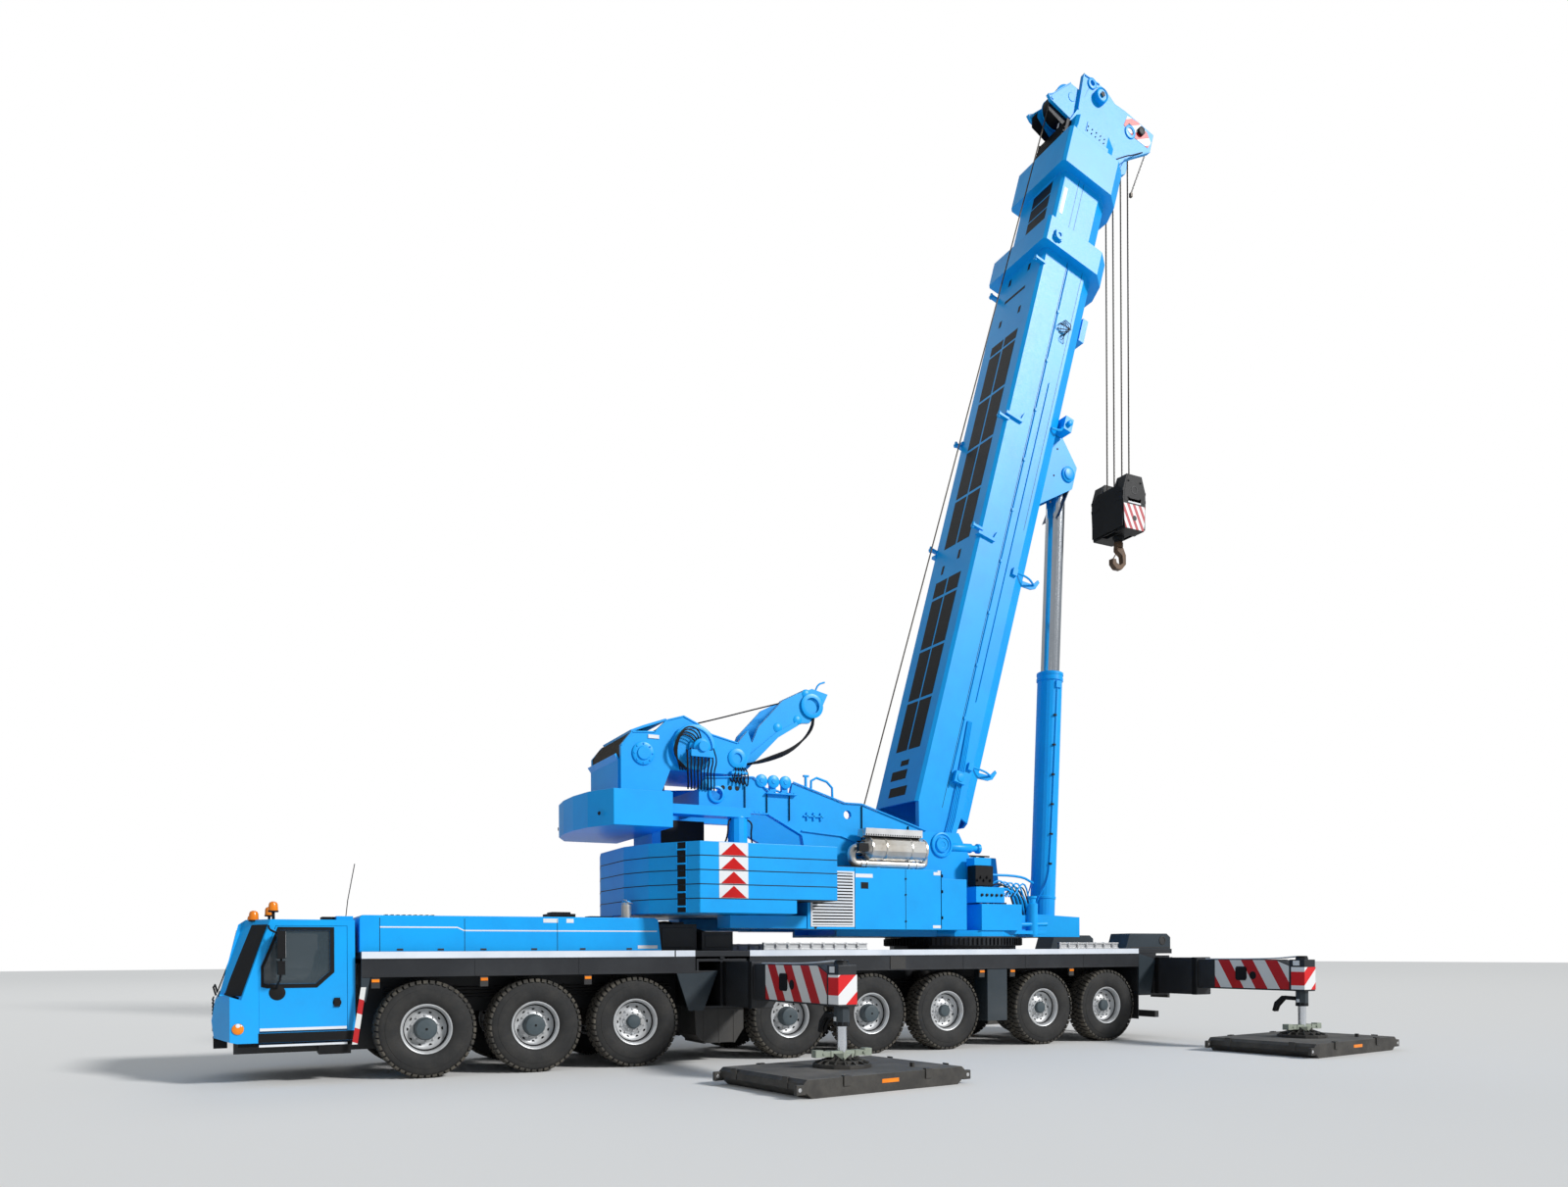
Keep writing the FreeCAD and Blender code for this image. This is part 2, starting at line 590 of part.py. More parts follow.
def make_cab():
    """Shell of bent sheet with a rounded-off front, window openings and two hinged doors."""
    half = d.cab_width / 2
    wall = d.cab_wall
    front = d.cab_front
    sill = d.cab_bottom + 670
    lean = 18.2
    outline = ((front + 330, d.cab_bottom), (front + 30, d.cab_bottom + 70), (front, d.cab_bottom + 316),
               (front + 50, sill - 50), (front + 100, sill), (front + 353, d.cab_top - 70),
               (front + 450, d.cab_top), (d.cab_rear, d.cab_top), (d.cab_rear, d.cab_bottom))
    room_outline = ((front + 330 + wall, d.cab_bottom + 200), (front + wall + 10, d.cab_bottom + 316),
                    (front + 50 + wall, sill - 50), (front + 100 + wall, sill),
                    (front + 353 + wall, d.cab_top - 70 - wall), (front + 450 + wall, d.cab_top - wall),
                    (d.cab_rear - wall, d.cab_top - wall), (d.cab_rear - wall, d.cab_bottom + 200))
    skin = plate("cab_skin", "XZ", outline, d.cab_width, (0, -half, 0))
    room = plate("cab_room", "XZ", room_outline, d.cab_width - 2 * wall, (0, wall - half, 0))
    corners = []
    for sign in (-1, 1):
        lower = corner_wedge("lower_corner", sign, 240, -50, 700)
        upper = corner_wedge("upper_corner", sign, 313, -90, 1400)
        corners.append(copy("lower_corner_cut", lower, (front + 236, 0, d.cab_bottom - 60)))
        corners.append(copy("upper_corner_cut", upper, (front + 385, 0, sill - 50), (0, 1, 0), lean))
    inner_corners = [copy("corner_inside", corner, (wall + 40, 0, 0)) for corner in corners]
    screen = plate("screen_opening", "XZ", (
        (front - 50, sill + 70), (front + 300, sill + 70),
        (front + 520, d.cab_top - 150), (front + 100, d.cab_top - 150)),
        d.cab_width - 1000 - 160, (0, 580 - half, 0))
    rear_window = span("rear_window_opening", (d.cab_rear - wall - 20, -700, d.cab_top - 620),
                       (d.cab_rear + 20, 700, d.cab_top - 180))
    door_front = front + 610
    door_rear = d.cab_rear - 111
    door_low = d.cab_bottom + 150
    door_top = d.cab_top - 95
    slant = (door_front + 230, door_low + 880)
    door = ((door_front, door_low), (door_rear, door_low), (door_rear, door_top),
            (slant[0], door_top), (door_front, slant[1]))
    gap = d.run_gap
    opening = ((door_front - d.seat_gap, door_low - gap), (door_rear + gap, door_low - gap),
               (door_rear + gap, door_top + gap), (slant[0] - gap, door_top + gap),
               (door_front - d.seat_gap, slant[1] + gap))
    openings = [screen, rear_window, cut("cab_inside", room, inner_corners)] + corners
    for sign in (-1, 1):
        y = -half - 10 if sign < 0 else half - wall - 10
        openings.append(plate("door_opening", "XZ", opening, wall + 20, (0, y, 0)))
    roof_box = span("roof_box", (d.cab_rear - 240, 150 - half, d.cab_top - 10),
                    (d.cab_rear - 10, half - 150, d.cab_top + 60))
    node("driver_cab", [fuse("cab_body", [cut("cab_shell", skin, openings), roof_box])])
    pane = plate("screen_pane", "XZ", (
        (front + 124, sill + 70.4), (front + 137, sill + 70.4),
        (front + 340, d.cab_top - 150.4), (front + 327, d.cab_top - 150.4)),
        d.cab_width - 1160.8, (0, 580.4 - half, 0))
    rear_pane = span("rear_pane", (d.cab_rear - 40, -699.6, d.cab_top - 619.6),
                     (d.cab_rear - 20, 699.6, d.cab_top - 180.4))
    node("cab_windows", [pane, rear_pane])
    window = ((door_front + 65, door_low + 710), (door_front + 120, door_low + 695),
              (door_rear - 430, door_low + 695), (door_rear - 230, door_low + 880),
              (door_rear - 230, door_top - 60), (slant[0] + 55, door_top - 60),
              (door_front + 65, door_low + 930))
    for side, sign in SIDES:
        y = -half if sign < 0 else half - wall
        leaf = plate("door_leaf", "XZ", door, wall, (0, y, 0))
        hole = plate("door_window", "XZ", window, wall + 20, (0, y - 10, 0))
        glass = plate("door_pane", "XZ", window, d.pane_thickness, (0, y + 24, 0))
        node("cab_door_" + side, [fuse("door_" + side, [cut("door_frame", leaf, [hole]), glass])])


def make_outriggers():
    """Two-stage beams with the jack sleeve at their tip, rams with their feet, and the mats."""
    mats = []
    half = d.mat_length / 2
    body = plate("mat_body", "XZ", (
        (140 - half, 0), (half - 140, 0), (half, d.mat_height * 0.45), (half, d.mat_height * 0.8),
        (half - 60, d.mat_height), (60 - half, d.mat_height), (-half, d.mat_height * 0.8),
        (-half, d.mat_height * 0.45)), d.mat_width, (0, d.mat_width * -0.5, 0))
    lugs = []
    for end in (-1, 1):
        for sign in (-1, 1):
            start, stop = (half - 40, half + d.mat_lug) if end > 0 else (-half - d.mat_lug, 40 - half)
            low, high = (d.mat_width / 2 - 60, d.mat_width / 2) if sign > 0 else (
                d.mat_width * -0.5, 60 - d.mat_width / 2)
            lugs.append(span("mat_lug_plate", (start, low, 60), (stop, high, 190)))
    mat = fuse("mat", [body] + lugs)
    for end, box_x, spread in (("front", d.front_box_x, d.jack_spread),
                               ("rear", d.rear_box_x, d.rear_jack_spread)):
        arm_half = d.arm_width / 2
        stage_half = d.beam_width / 2
        tip = spread + d.beam_tip
        stage = span("first_stage", (-stage_half, d.beam_inner_end, d.beam_bottom),
                     (stage_half, d.first_stage_end, d.beam_bottom + d.beam_height))
        arm = span("second_stage", (-arm_half, d.first_stage_end - 50, d.arm_bottom),
                   (arm_half, tip, d.arm_bottom + d.arm_height))
        slope = plate("arm_tip_slope", "YZ", (
            (tip - 620, d.arm_bottom + d.arm_height + 10), (tip - 330, d.arm_bottom + d.arm_height - 110),
            (tip - 330, d.arm_bottom + d.arm_height + 10)), d.arm_width + 20, (-arm_half - 10, 0, 0))
        sleeve = prism("jack_sleeve", d.jack_radius, d.jack_top - d.jack_bottom, (0, spread, d.jack_bottom),
                       "z", 8)
        bore = prism("jack_bore", d.ram_radius + d.seat_gap, d.jack_top - d.jack_bottom - 60,
                     (0, spread, d.jack_bottom - 20), "z", 8)
        beam = cut("beam", fuse("beam_blank", [stage, cut("arm", arm, [slope]), sleeve]), [bore])
        foot_low = d.mat_height + d.seat_gap
        ram = pin_bar("jack_ram", d.ram_radius, 1300 - foot_low, (0, 0, foot_low), "z", 8)
        foot = [prism("jack_foot", d.foot_radius, 45, (0, 0, foot_low), "z", 12),
                prism("jack_foot_step", d.foot_radius * 0.72, 60, (0, 0, foot_low + 40), "z", 12),
                prism("jack_foot_neck", d.foot_radius * 0.4, 110, (0, 0, foot_low + 90), "z", 8)]
        foot_bar = span("foot_bar", (-460, -60, foot_low + d.foot_height), (460, 60, foot_low + d.foot_height + 80))
        jack = fuse("jack", [ram, foot_bar] + foot)
        for side, sign in SIDES:
            x = box_x + BEAM_OFFSETS[side]
            node("outrigger_beam_%s_%s" % (end, side), [beam], (x, 0, 0), (0, 0, 1), 180 if sign < 0 else 0)
            node("jack_%s_%s" % (end, side), [jack], (x, spread * sign, 0))
            mats.append(copy("support_mat", mat, (x, spread * sign, 0), (0, 0, 1), d.mat_turn))
    node("support_mats", mats)


deck_clear = d.ring_bottom + d.ring_height + d.seat_gap


def lift_line():
    """Eye of the lift cylinder's rod, and the lean of the cylinder."""
    rise = cosine(d.boom_angle)
    run = sine(d.boom_angle)
    eye_x = d.pivot_x + d.lift_eye_along * rise + d.lift_eye_drop * run
    eye_z = d.pivot_z + d.lift_eye_along * run - d.lift_eye_drop * rise
    return eye_x, eye_z, heading(eye_z - d.lift_foot_z, eye_x - d.lift_foot_x)


def make_turntable():
    inner = d.boom_width / 2 + d.boom_clearance
    outer = inner + d.side_plate
    low = deck_clear
    rear = d.lift_foot_x + 260
    floor = prism("turntable_floor", d.ring_radius - 40, 120, (d.slew_x, 0, low), "z", 16)
    # the arm that carries the counterweight and the winch, from the pivot
    arm = ((-380, 250), (-1854, 688), (-2221, 688), (-3319, 1007), (-3366, 783), (-3767, 769),
           (-4130, 1045), (-5073, 976), (-5180, 790), (-5180, 400), (-3833, 390), (-3145, 44), (-3000, -700))
    outline = [(d.pivot_x - 2400, low), (rear, low), (rear, low + 420), (d.pivot_x + 1300, low + 520),
               (d.pivot_x + 420, d.pivot_z + 250)]
    outline += [(d.pivot_x + x, d.pivot_z + z) for x, z in arm]
    outline += [(d.pivot_x - 2900, low + 220), (d.pivot_x - 2400, low + 220)]
    pieces = [floor]
    for y in (-outer, inner):
        side = plate("side_plate", "XZ", outline, d.side_plate, (0, y, 0))
        holes = [prism("side_hole", radius, d.side_plate + 20, (d.pivot_x + x, y - 10, d.pivot_z + z), "y", 10)
                 for radius, x, z in ((110, -4850, 700), (80, -2150, 480))]
        pieces.append(cut("side_plate_holed", side, holes))
        for x in (-3958, -3715, -3472):
            pieces.append(span("bearing_cap", (d.pivot_x + x - 60, y + 10, d.pivot_z + 740),
                               (d.pivot_x + x + 60, y + d.side_plate - 10, d.pivot_z + 1075)))
    pin_at = (d.pivot_x, 0, d.pivot_z)
    pin = pin_bar("boom_pin", d.pin_radius, 2 * outer + 80, (0, -outer - 40, 0), "y")
    pieces.append(copy("boom_pin_turned", pin, pin_at, (0, -1, 0), d.boom_angle))
    # x start, x end, z low, z high of the cross walls between the side plates
    for start, end, bottom, top in (
            (d.pivot_x - 2400, d.lift_foot_x + 140, low, low + 40),
            (d.pivot_x - 2850, d.pivot_x - 2790, low + 300, low + 1100),
            (d.pivot_x - 2100, d.pivot_x - 2020, low, low + 1300),
            (d.pivot_x - 5140, d.pivot_x - 4900, d.pivot_z + 420, d.pivot_z + 800)):
        pieces.append(span("cross_wall", (start, -inner - 5, bottom), (end, inner + 5, top)))
    lug = d.barrel_radius + d.bracket_gap
    for sign in (-1, 1):
        y = lug if sign > 0 else -lug - 90
        pieces.append(plate("cylinder_lug", "XZ", (
            (d.lift_foot_x - 300, low + 20), (d.lift_foot_x + 200, low + 20),
            (d.lift_foot_x + 170, d.lift_foot_z + 180), (d.lift_foot_x - 170, d.lift_foot_z + 180)),
            90, (0, y, 0)))
    foot_pin = pin_bar("cylinder_foot_pin", d.foot_pin_radius, 2 * lug + 170, (0, -lug - 85, 0), "y")
    pieces.append(copy("cylinder_foot_pin_turned", foot_pin, (d.lift_foot_x, 0, d.lift_foot_z),
                       (0, -1, 0), lift_line()[2]))
    drum_x = d.pivot_x - 1450
    drum_z = low + 560
    pieces.append(prism("hoist_drum", 420, 900, (drum_x, -450, drum_z), "y", 12))
    pieces.append(prism("hoist_shaft", 90, 2 * inner + 10, (drum_x, -inner - 5, drum_z), "y", 8))
    node("turntable_frame", [fuse("turntable", pieces)])


def make_engine_house():
    """Two housings beside the side plates, a valve box behind each and the silencer on the left one."""
    inner = d.boom_width / 2 + d.boom_clearance + d.side_plate + d.seat_gap
    low = deck_clear + 120
    front = d.pivot_x - 3340
    rear = d.pivot_x - 420
    half = d.carrier_width / 2
    sides = []
    for sign in (-1, 1):
        near, far = (inner, half) if sign > 0 else (-half, -inner)
        house = plate("house", "XZ", (
            (front, low), (rear, low), (rear, low + d.house_height), (front + 60, low + d.house_height),
            (front, low + d.house_height - 60)), far - near, (0, near, 0))
        valve_box = span("valve_box", (rear - 10, near + 20, low), (rear + 600, far - 20, low + 980))
        sides.append([house, valve_box])
    silencer = prism("silencer", 215, 1250, (d.pivot_x - 1900, -1180, low + 1530), "x", 12)
    pipe = prism("silencer_pipe", 70, 1280, (d.pivot_x - 2020, -1180, low + 1800), "x", 8)
    saddles = [span("silencer_saddle", (d.pivot_x - x, -1230, low + d.house_height - 10),
                    (d.pivot_x - x + 60, -1130, low + 1340)) for x in (1700, 900)]
    low_box = span("low_box", (d.pivot_x + 600, 100 - half, low), (d.pivot_x + 1600, -inner - 10, low + 520))
    left = fuse("engine_side_left", sides[0] + [silencer, pipe] + saddles)
    node("engine_house", [left, fuse("engine_side_right", sides[1]), low_box])


def make_counterweight():
    """Loose slabs one on another, and the upper ballast that hangs on its two cylinders."""
    tail = d.stack_tail_x
    half = d.stack_half_width
    wing = d.carrier_width / 2 + 50
    pieces = []
    for k in range(5):
        z = d.stack_bottom + (d.slab_height + d.slab_gap) * k
        # front edge of the middle and of the wings of this slab
        middle, wings = (d.stack_front_x, d.wing_front_x) if k else (d.stack_front_x - 350, d.wing_front_x - 640)
        front_edge = [(middle, -wing), (middle, wing)] if k == 0 else [
            (wings, -half), (wings, -wing), (middle, -wing), (middle, wing), (wings, wing), (wings, half)]
        if k == 0:
            front_edge = [(wings - 160, -half), (wings, -wing - 160), (wings, wing + 160), (wings - 160, half)]
        shape = [(tail + 850, -half)] + front_edge + [
            (tail + 850, half), (tail + 260, half * 0.62), (tail + 60, half * 0.3),
            (tail + 60, half * -0.3), (tail + 260, half * -0.62)]
        pieces.append(plate("slab", "XY", shape, d.slab_height, (0, 0, z)))
    top = d.stack_bottom + 5 * d.slab_height + 5 * d.slab_gap
    low = d.ballast_bottom
    upper = plate("upper_ballast", "XY", (
        (tail - 390, -1500), (tail + 650, -1500), (tail + 650, 1500), (tail - 390, 1500),
        (tail - 650, 900), (tail - 730, 300), (tail - 730, -300), (tail - 650, -900)),
        d.ballast_height, (0, 0, low))
    post = span("ballast_post", (tail + 640, -500, top), (tail + 1150, 500, low + 330))
    pieces.append(fuse("upper_block", [upper, post]))
    outer = d.boom_width / 2 + d.boom_clearance + d.side_plate + d.seat_gap
    for sign in (-1, 1):
        near, far = (980, 1320) if sign > 0 else (-1320, -980)
        arm = span("ballast_arm", (tail + 650 + d.seat_gap, near, low + 260), (tail + 2180, far, low + 430))
        cylinder = prism("ballast_cylinder", 170, low + 270 - top, (tail + 2000, sign * 1150, top), "z", 12)
        near, far = (outer, 990) if sign > 0 else (-990, -outer)
        link = span("ballast_link", (tail + 1880, near, low + 270), (tail + 2140, far, low + 420))
        pieces.append(fuse("ballast_side", [arm, cylinder, link]))
    node("counterweight", pieces)


def make_winch():
    """Derrick frame on the counterweight's arm: two cheeks, a drum, and a folded arm with its sheave."""
    base = d.ballast_bottom + d.ballast_height + d.seat_gap
    tail = d.stack_tail_x
    shelf = d.pivot_z + 1080
    # from the tail of the counterweight and the pivot's height
    cheek = [(tail - 50, base), (tail + 655, base), (tail + 850, shelf), (tail + 2250, shelf)]
    cheek += [(tail + x, d.pivot_z + z) for x, z in (
        (2441, 1638), (2343, 1895), (2148, 1665), (1632, 1776), (1350, 1950), (1102, 2054), (800, 1960),
        (564, 1728), (150, 1700), (-50, 1450))]
    arm = [(tail + x, d.pivot_z + z) for x, z in (
        (1900, 1300), (2300, 1180), (3077, 1945), (3553, 2211), (3806, 2235), (4039, 2463), (4211, 2819),
        (3869, 2894), (3553, 2766), (3242, 2604), (2732, 2059), (2611, 1776))]
    pieces = []
    for sign in (-1, 1):
        pieces.append(plate("winch_cheek", "XZ", cheek, 80, (0, 780 if sign > 0 else -860, 0)))
        pieces.append(plate("derrick_arm", "XZ", arm, 80, (0, 420 if sign > 0 else -500, 0)))
    pieces.append(prism("winch_drum", 380, 1580, (tail + 350, -790, d.pivot_z + 1330), "y", 12))
    pieces.append(prism("winch_disc", 400, 1880, (tail + 1275, -940, d.pivot_z + 1500), "y", 12))
    pieces.append(span("winch_floor", (tail - 50, -790, base), (tail + 640, 790, base + 60)))
    pieces.append(span("winch_shelf", (tail + 860, -790, shelf), (tail + 2250, 790, shelf + 50)))
    pieces.append(prism("derrick_pin", 110, 1640, (tail + 2130, -820, d.pivot_z + 1380), "y", 8))
    pieces.append(prism("derrick_sheave", 230, 1000, (tail + 3850, -500, d.pivot_z + 2560), "y", 12))
    node("winch_unit", [fuse("winch", pieces)])


def make_crane_cab():
    inner = d.boom_width / 2 + d.boom_clearance + d.side_plate
    low = deck_clear + 120
    x0 = d.pivot_x + 1000
    y0 = inner + 40
    wall = 50
    shell = plate("crane_cab_skin", "XZ", (
        (x0, low), (x0 + 1750, low), (x0 + 1950, low + 500), (x0 + 1800, low + 1680), (x0, low + 1680)),
        900, (0, y0, 0))
    room = plate("crane_cab_room", "XZ", (
        (x0 + wall, low + wall), (x0 + 1750 - wall, low + wall), (x0 + 1950 - wall, low + 500),
        (x0 + 1800 - wall, low + 1680 - wall), (x0 + wall, low + 1680 - wall)),
        900 - 2 * wall, (0, y0 + wall, 0))
    screen = span("crane_cab_screen", (x0 + 1700, y0 + 110, low + 560), (x0 + 2050, y0 + 790, low + 1560))
    side = span("crane_cab_side", (x0 + 900, y0 - 20, low + 700), (x0 + 1650, y0 + 920, low + 1560))
    door_hole = span("crane_cab_doorway", (x0 + 95, y0 + 850, low + 145), (x0 + 855, y0 + 920, low + 1585))
    seat = span("crane_cab_floor_post", (x0, inner, low), (x0 + 1700, y0 + 5, low + 120))
    cab = cut("crane_cab_shell", fuse("crane_cab_blank", [shell, seat]), [room, screen, side, door_hole])
    node("crane_cab", [cab])
    panes = [plate("crane_cab_front_pane", "XZ", (
        (x0 + 1906, low + 560.5), (x0 + 1920, low + 560.5), (x0 + 1792, low + 1559.5), (x0 + 1778, low + 1559.5)),
        679, (0, y0 + 110.5, 0))]
    for y in (y0 + 20, y0 + 870):
        panes.append(span("crane_cab_side_pane", (x0 + 900.5, y, low + 700.5), (x0 + 1649.5, y + 12, low + 1559.5)))
    node("crane_cab_windows", panes)
    leaf = span("crane_cab_door_leaf", (x0 + 60, y0 + 900 + d.seat_gap, low + 120), (x0 + 880, y0 + 940, low + 1600))
    node("crane_cab_door", [leaf])


sheave_reach = d.base_length + d.tele_out + d.sheave_out


def boom_outline(inset):
    """Flat top, upright sides and a belly drawn in below, around the pivot line."""
    half = d.boom_width / 2 - inset
    top = d.boom_rise - inset
    low = inset - d.boom_drop
    return ((60 - half, top), (-half, top - 60), (-half, low + 460), (-half * 0.78, low + 170),
            (-half * 0.35, low), (half * 0.35, low), (half * 0.78, low + 170), (half, low + 460),
            (half, top - 60), (half - 60, top))


def boom_tube(name, start, end, inset, wall):
    """A hollow stretch of boom, drawn in on all sides by its inset."""
    skin = plate(name + "_skin", "YZ", boom_outline(inset), end - start, (start, 0, 0))
    room = plate(name + "_room", "YZ", boom_outline(inset + wall), end - start + 20, (start - 10, 0, 0))
    return cut(name, skin, [room])


def slide_pads(mouth, inset, wall):
    """Two pads inside the mouth of a section, which guide the next one."""
    room = d.section_step - wall - d.seat_gap
    top = d.boom_rise - inset - wall
    low = inset + wall - d.boom_drop
    return [span("slide_pad", (mouth - 260, -180, top - room), (mouth - 60, 180, top + 5)),
            span("slide_pad", (mouth - 260, -180, low - 5), (mouth - 60, 180, low + room))]


def boom_node(label, pieces):
    """Boom pieces are drawn lying level from the pivot, and then raised."""
    node(label, pieces, (d.pivot_x, 0, d.pivot_z), (0, -1, 0), d.boom_angle)


def make_boom():
    base = boom_tube("base_tube", 700, d.base_length, 0, d.boom_wall)
    collar = boom_tube("base_collar", d.base_length - d.collar_length, d.base_length,
                       -d.collar_height, d.collar_height + d.boom_wall)
    half = d.boom_width / 2
    foot = []
    for sign in (-1, 1):
        foot.append(plate("boom_foot", "XZ", (
            (-350, -300), (720, 460 - d.boom_drop), (720, d.boom_rise - 60), (-100, d.boom_rise - 300),
            (-350, 100)), 120, (0, half - 120 if sign > 0 else -half, 0)))
    bore = prism("boom_pin_bore", d.pin_radius + d.seat_gap, d.boom_width + 20, (0, -half - 10, 0), "y", 12)
    bracket = []
    reach = d.lift_eye_drop + 200
    bracket_in = d.barrel_radius + d.bracket_gap
    for sign in (-1, 1):
        bracket.append(plate("cylinder_bracket", "XZ", (
            (d.lift_eye_along - 1000, 50 - d.boom_drop), (d.lift_eye_along - 250, -reach),
            (d.lift_eye_along + 260, -reach), (d.lift_eye_along + 900, 50 - d.boom_drop)),
            90, (0, bracket_in if sign > 0 else -bracket_in - 90, 0)))
    blank = fuse("boom_base_blank", [base, collar] + foot + bracket
                 + slide_pads(d.base_length, 0, d.boom_wall))
    boom_node("boom_base", [cut("boom_base_solid", blank, [bore])])
    tele_end = d.base_length + d.tele_out
    tele = boom_tube("tele_tube", d.tele_inside, tele_end, d.section_step, d.section_wall)
    tele_collar = boom_tube("tele_collar", tele_end - d.tele_collar, tele_end,
                            d.section_step - d.collar_height, d.section_wall + d.collar_height)
    boom_node("boom_tele", [fuse("boom_tele_solid", [tele, tele_collar]
                             + slide_pads(tele_end, d.section_step, d.section_wall))])
    head_end = tele_end + d.head_out
    inset = 2 * d.section_step
    head = boom_tube("head_tube", d.tele_inside + 500, head_end, inset, d.section_wall)
    rings = [boom_tube("head_ring", tele_end + 30 + k * 170, tele_end + 150 + k * 170, inset - 60 + 20 * k,
                       d.section_wall + 60 - 20 * k) for k in range(2)]
    # the cheeks around both sets of sheaves, from the pivot along and above the boom
    cheek = ((50, -850), (719, -1008), (1312, -1621), (1774, -1618), (1783, -709), (1752, -412),
             (1886, -101), (1887, 109), (1833, 568), (981, 504), (450, 700))
    nose = []
    for sign in (-1, 1):
        y = 330 if sign > 0 else -420
        nose.append(plate("head_cheek", "XZ", [(tele_end + x, z) for x, z in cheek], 90, (0, y, 0)))
        nose.append(plate("head_lug", "XZ", [(tele_end + x, z) for x, z in (
            (700, 450), (790, 1180), (870, 1290), (960, 1180), (1500, 800), (1500, 500))], 60,
            (0, 290 if sign > 0 else -350, 0)))
    end_plate = plate("head_end_plate", "YZ", boom_outline(inset), 60, (head_end - 30, 0, 0))
    pin = prism("head_pin", 90, 840, (sheave_reach, -420, -d.sheave_drop), "y", 8)
    # a corner of the sheave meets each fall, upright in the photo's pose
    wheel = pin_bar("head_sheaves", d.sheave_radius - d.rope_radius - d.seat_gap, 400, (0, -200, 0), "y", 16)
    sheave = copy("head_sheaves_turned", wheel, (sheave_reach, 0, -d.sheave_drop), (0, 1, 0), d.boom_angle)
    top_sheave = prism("top_sheaves", 320, 440, (tele_end + 1211, -220, d.boom_rise - 50), "y", 12)
    top_pin = prism("top_pin", 90, 720, (tele_end + 1211, -360, d.boom_rise - 50), "y", 8)
    tip_bar = prism("tip_bar", 45, 760, (tele_end + 1681, -380, -1296), "y", 8)
    jib_bore = round_bar("jib_pin_bore", d.jib_pin_radius, 900, (tele_end + 1760, -450, 300), "y")
    head_blank = fuse("boom_head_blank", [head, end_plate, pin, sheave, top_sheave, top_pin, tip_bar]
                      + rings + nose)
    boom_node("boom_head", [cut("boom_head_solid", head_blank, [jib_bore])])


def make_lift_cylinder():
    eye_x, eye_z, lean = lift_line()
    foot_at = (d.lift_foot_x, 0, d.lift_foot_z)
    tube = cut("barrel_tube",
               prism("barrel_skin", d.barrel_radius, d.barrel_length - 180, (180, 0, 0), "x", 24),
               [prism("barrel_bore", d.barrel_radius - d.barrel_wall, d.barrel_length - 410, (260, 0, 0), "x", 24),
                prism("gland_bore", d.rod_radius + d.seat_gap, 400, (d.barrel_length - 300, 0, 0), "x", 24)])
    eye = prism("barrel_eye", 200, 2 * d.barrel_radius, (0, -d.barrel_radius, 0), "y", 12)
    foot_bore = prism("barrel_eye_bore", d.foot_pin_radius + d.seat_gap, 2 * d.barrel_radius + 20,
                      (0, -d.barrel_radius - 10, 0), "y", 12)
    node("lift_barrel", [cut("barrel", fuse("barrel_blank", [tube, eye]), [foot_bore])],
         foot_at, (0, -1, 0), lean)
    shaft = prism("rod_shaft", d.rod_radius, d.rod_length - 120, (-d.rod_length, 0, 0), "x", 24)
    eye_half = d.barrel_radius + d.bracket_gap - d.seat_gap
    rod_eye = prism("rod_eye", d.eye_radius, 2 * eye_half, (0, -eye_half, 0), "y", 12)
    node("lift_rod", [fuse("rod", [shaft, rod_eye])], (eye_x, 0, eye_z), (0, -1, 0), lean)


def make_hoist():
    rise = cosine(d.boom_angle)
    run = sine(d.boom_angle)
    pin_x = d.pivot_x + sheave_reach * rise + d.sheave_drop * run
    pin_z = d.pivot_z + sheave_reach * run - d.sheave_drop * rise
    falls = []
    for x in (-d.sheave_radius, d.sheave_radius):
        for y in (-d.rope_spread, d.rope_spread):
            falls.append(prism("rope_fall", d.rope_radius, pin_z - d.hook_pin_z, (x, y, d.hook_pin_z), "z", 6))
    node("hoist_falls", falls, (pin_x, 0, 0))
    cheeks = []
    for sign in (-1, 1):
        y = 190 if sign > 0 else -250
        cheeks.append(plate("hook_cheek", "XZ", (
            (-300, -950), (300, -950), (340, 0), (220, 290), (-220, 290), (-340, 0)), 60, (0, y, 0)))
    pin = prism("hook_sheave_pin", 80, 500, (0, -250, 0), "y", 8)
    sheaves = prism("hook_sheaves", d.sheave_radius - d.rope_radius - d.seat_gap, 300, (0, -150, 0), "y", 16)
    beam = span("hook_crosshead", (-160, -250, -950), (160, 250, -740))
    shank = prism("hook_shank", 90, 360, (0, 0, -1200), "z", 8)
    hook = plate("hook", "XZ", ((-90, -1190), (90, -1190), (170, -1350), (170, -1560), (40, -1700), (-120, -1700),
                                (-230, -1600), (-230, -1480), (-130, -1480), (-110, -1560), (0, -1600),
                                (80, -1540), (60, -1380), (-90, -1280)), 130, (0, -65, 0))
    node("hook_block", [fuse("hook_block_solid", cheeks + [pin, sheaves, beam, shank, hook])],
         (pin_x, 0, d.hook_pin_z))


make_chassis()
make_deck()
make_cover()
make_cab()
make_axles()
make_knuckles()
make_wheels()
make_outriggers()
make_turntable()
make_engine_house()
make_counterweight()
make_winch()
make_crane_cab()
make_boom()
make_lift_cylinder()
make_hoist()
doc.recompute()

faults = [o.Name for o in doc.Objects if "Invalid" in o.State or "Error" in o.State]
for part in nodes:
    if part.Shape.isNull() or not part.Shape.isValid() or not part.Shape.Solids:
        faults.append(part.Label)
if faults:
    raise RuntimeError("these objects failed: " + ", ".join(faults))

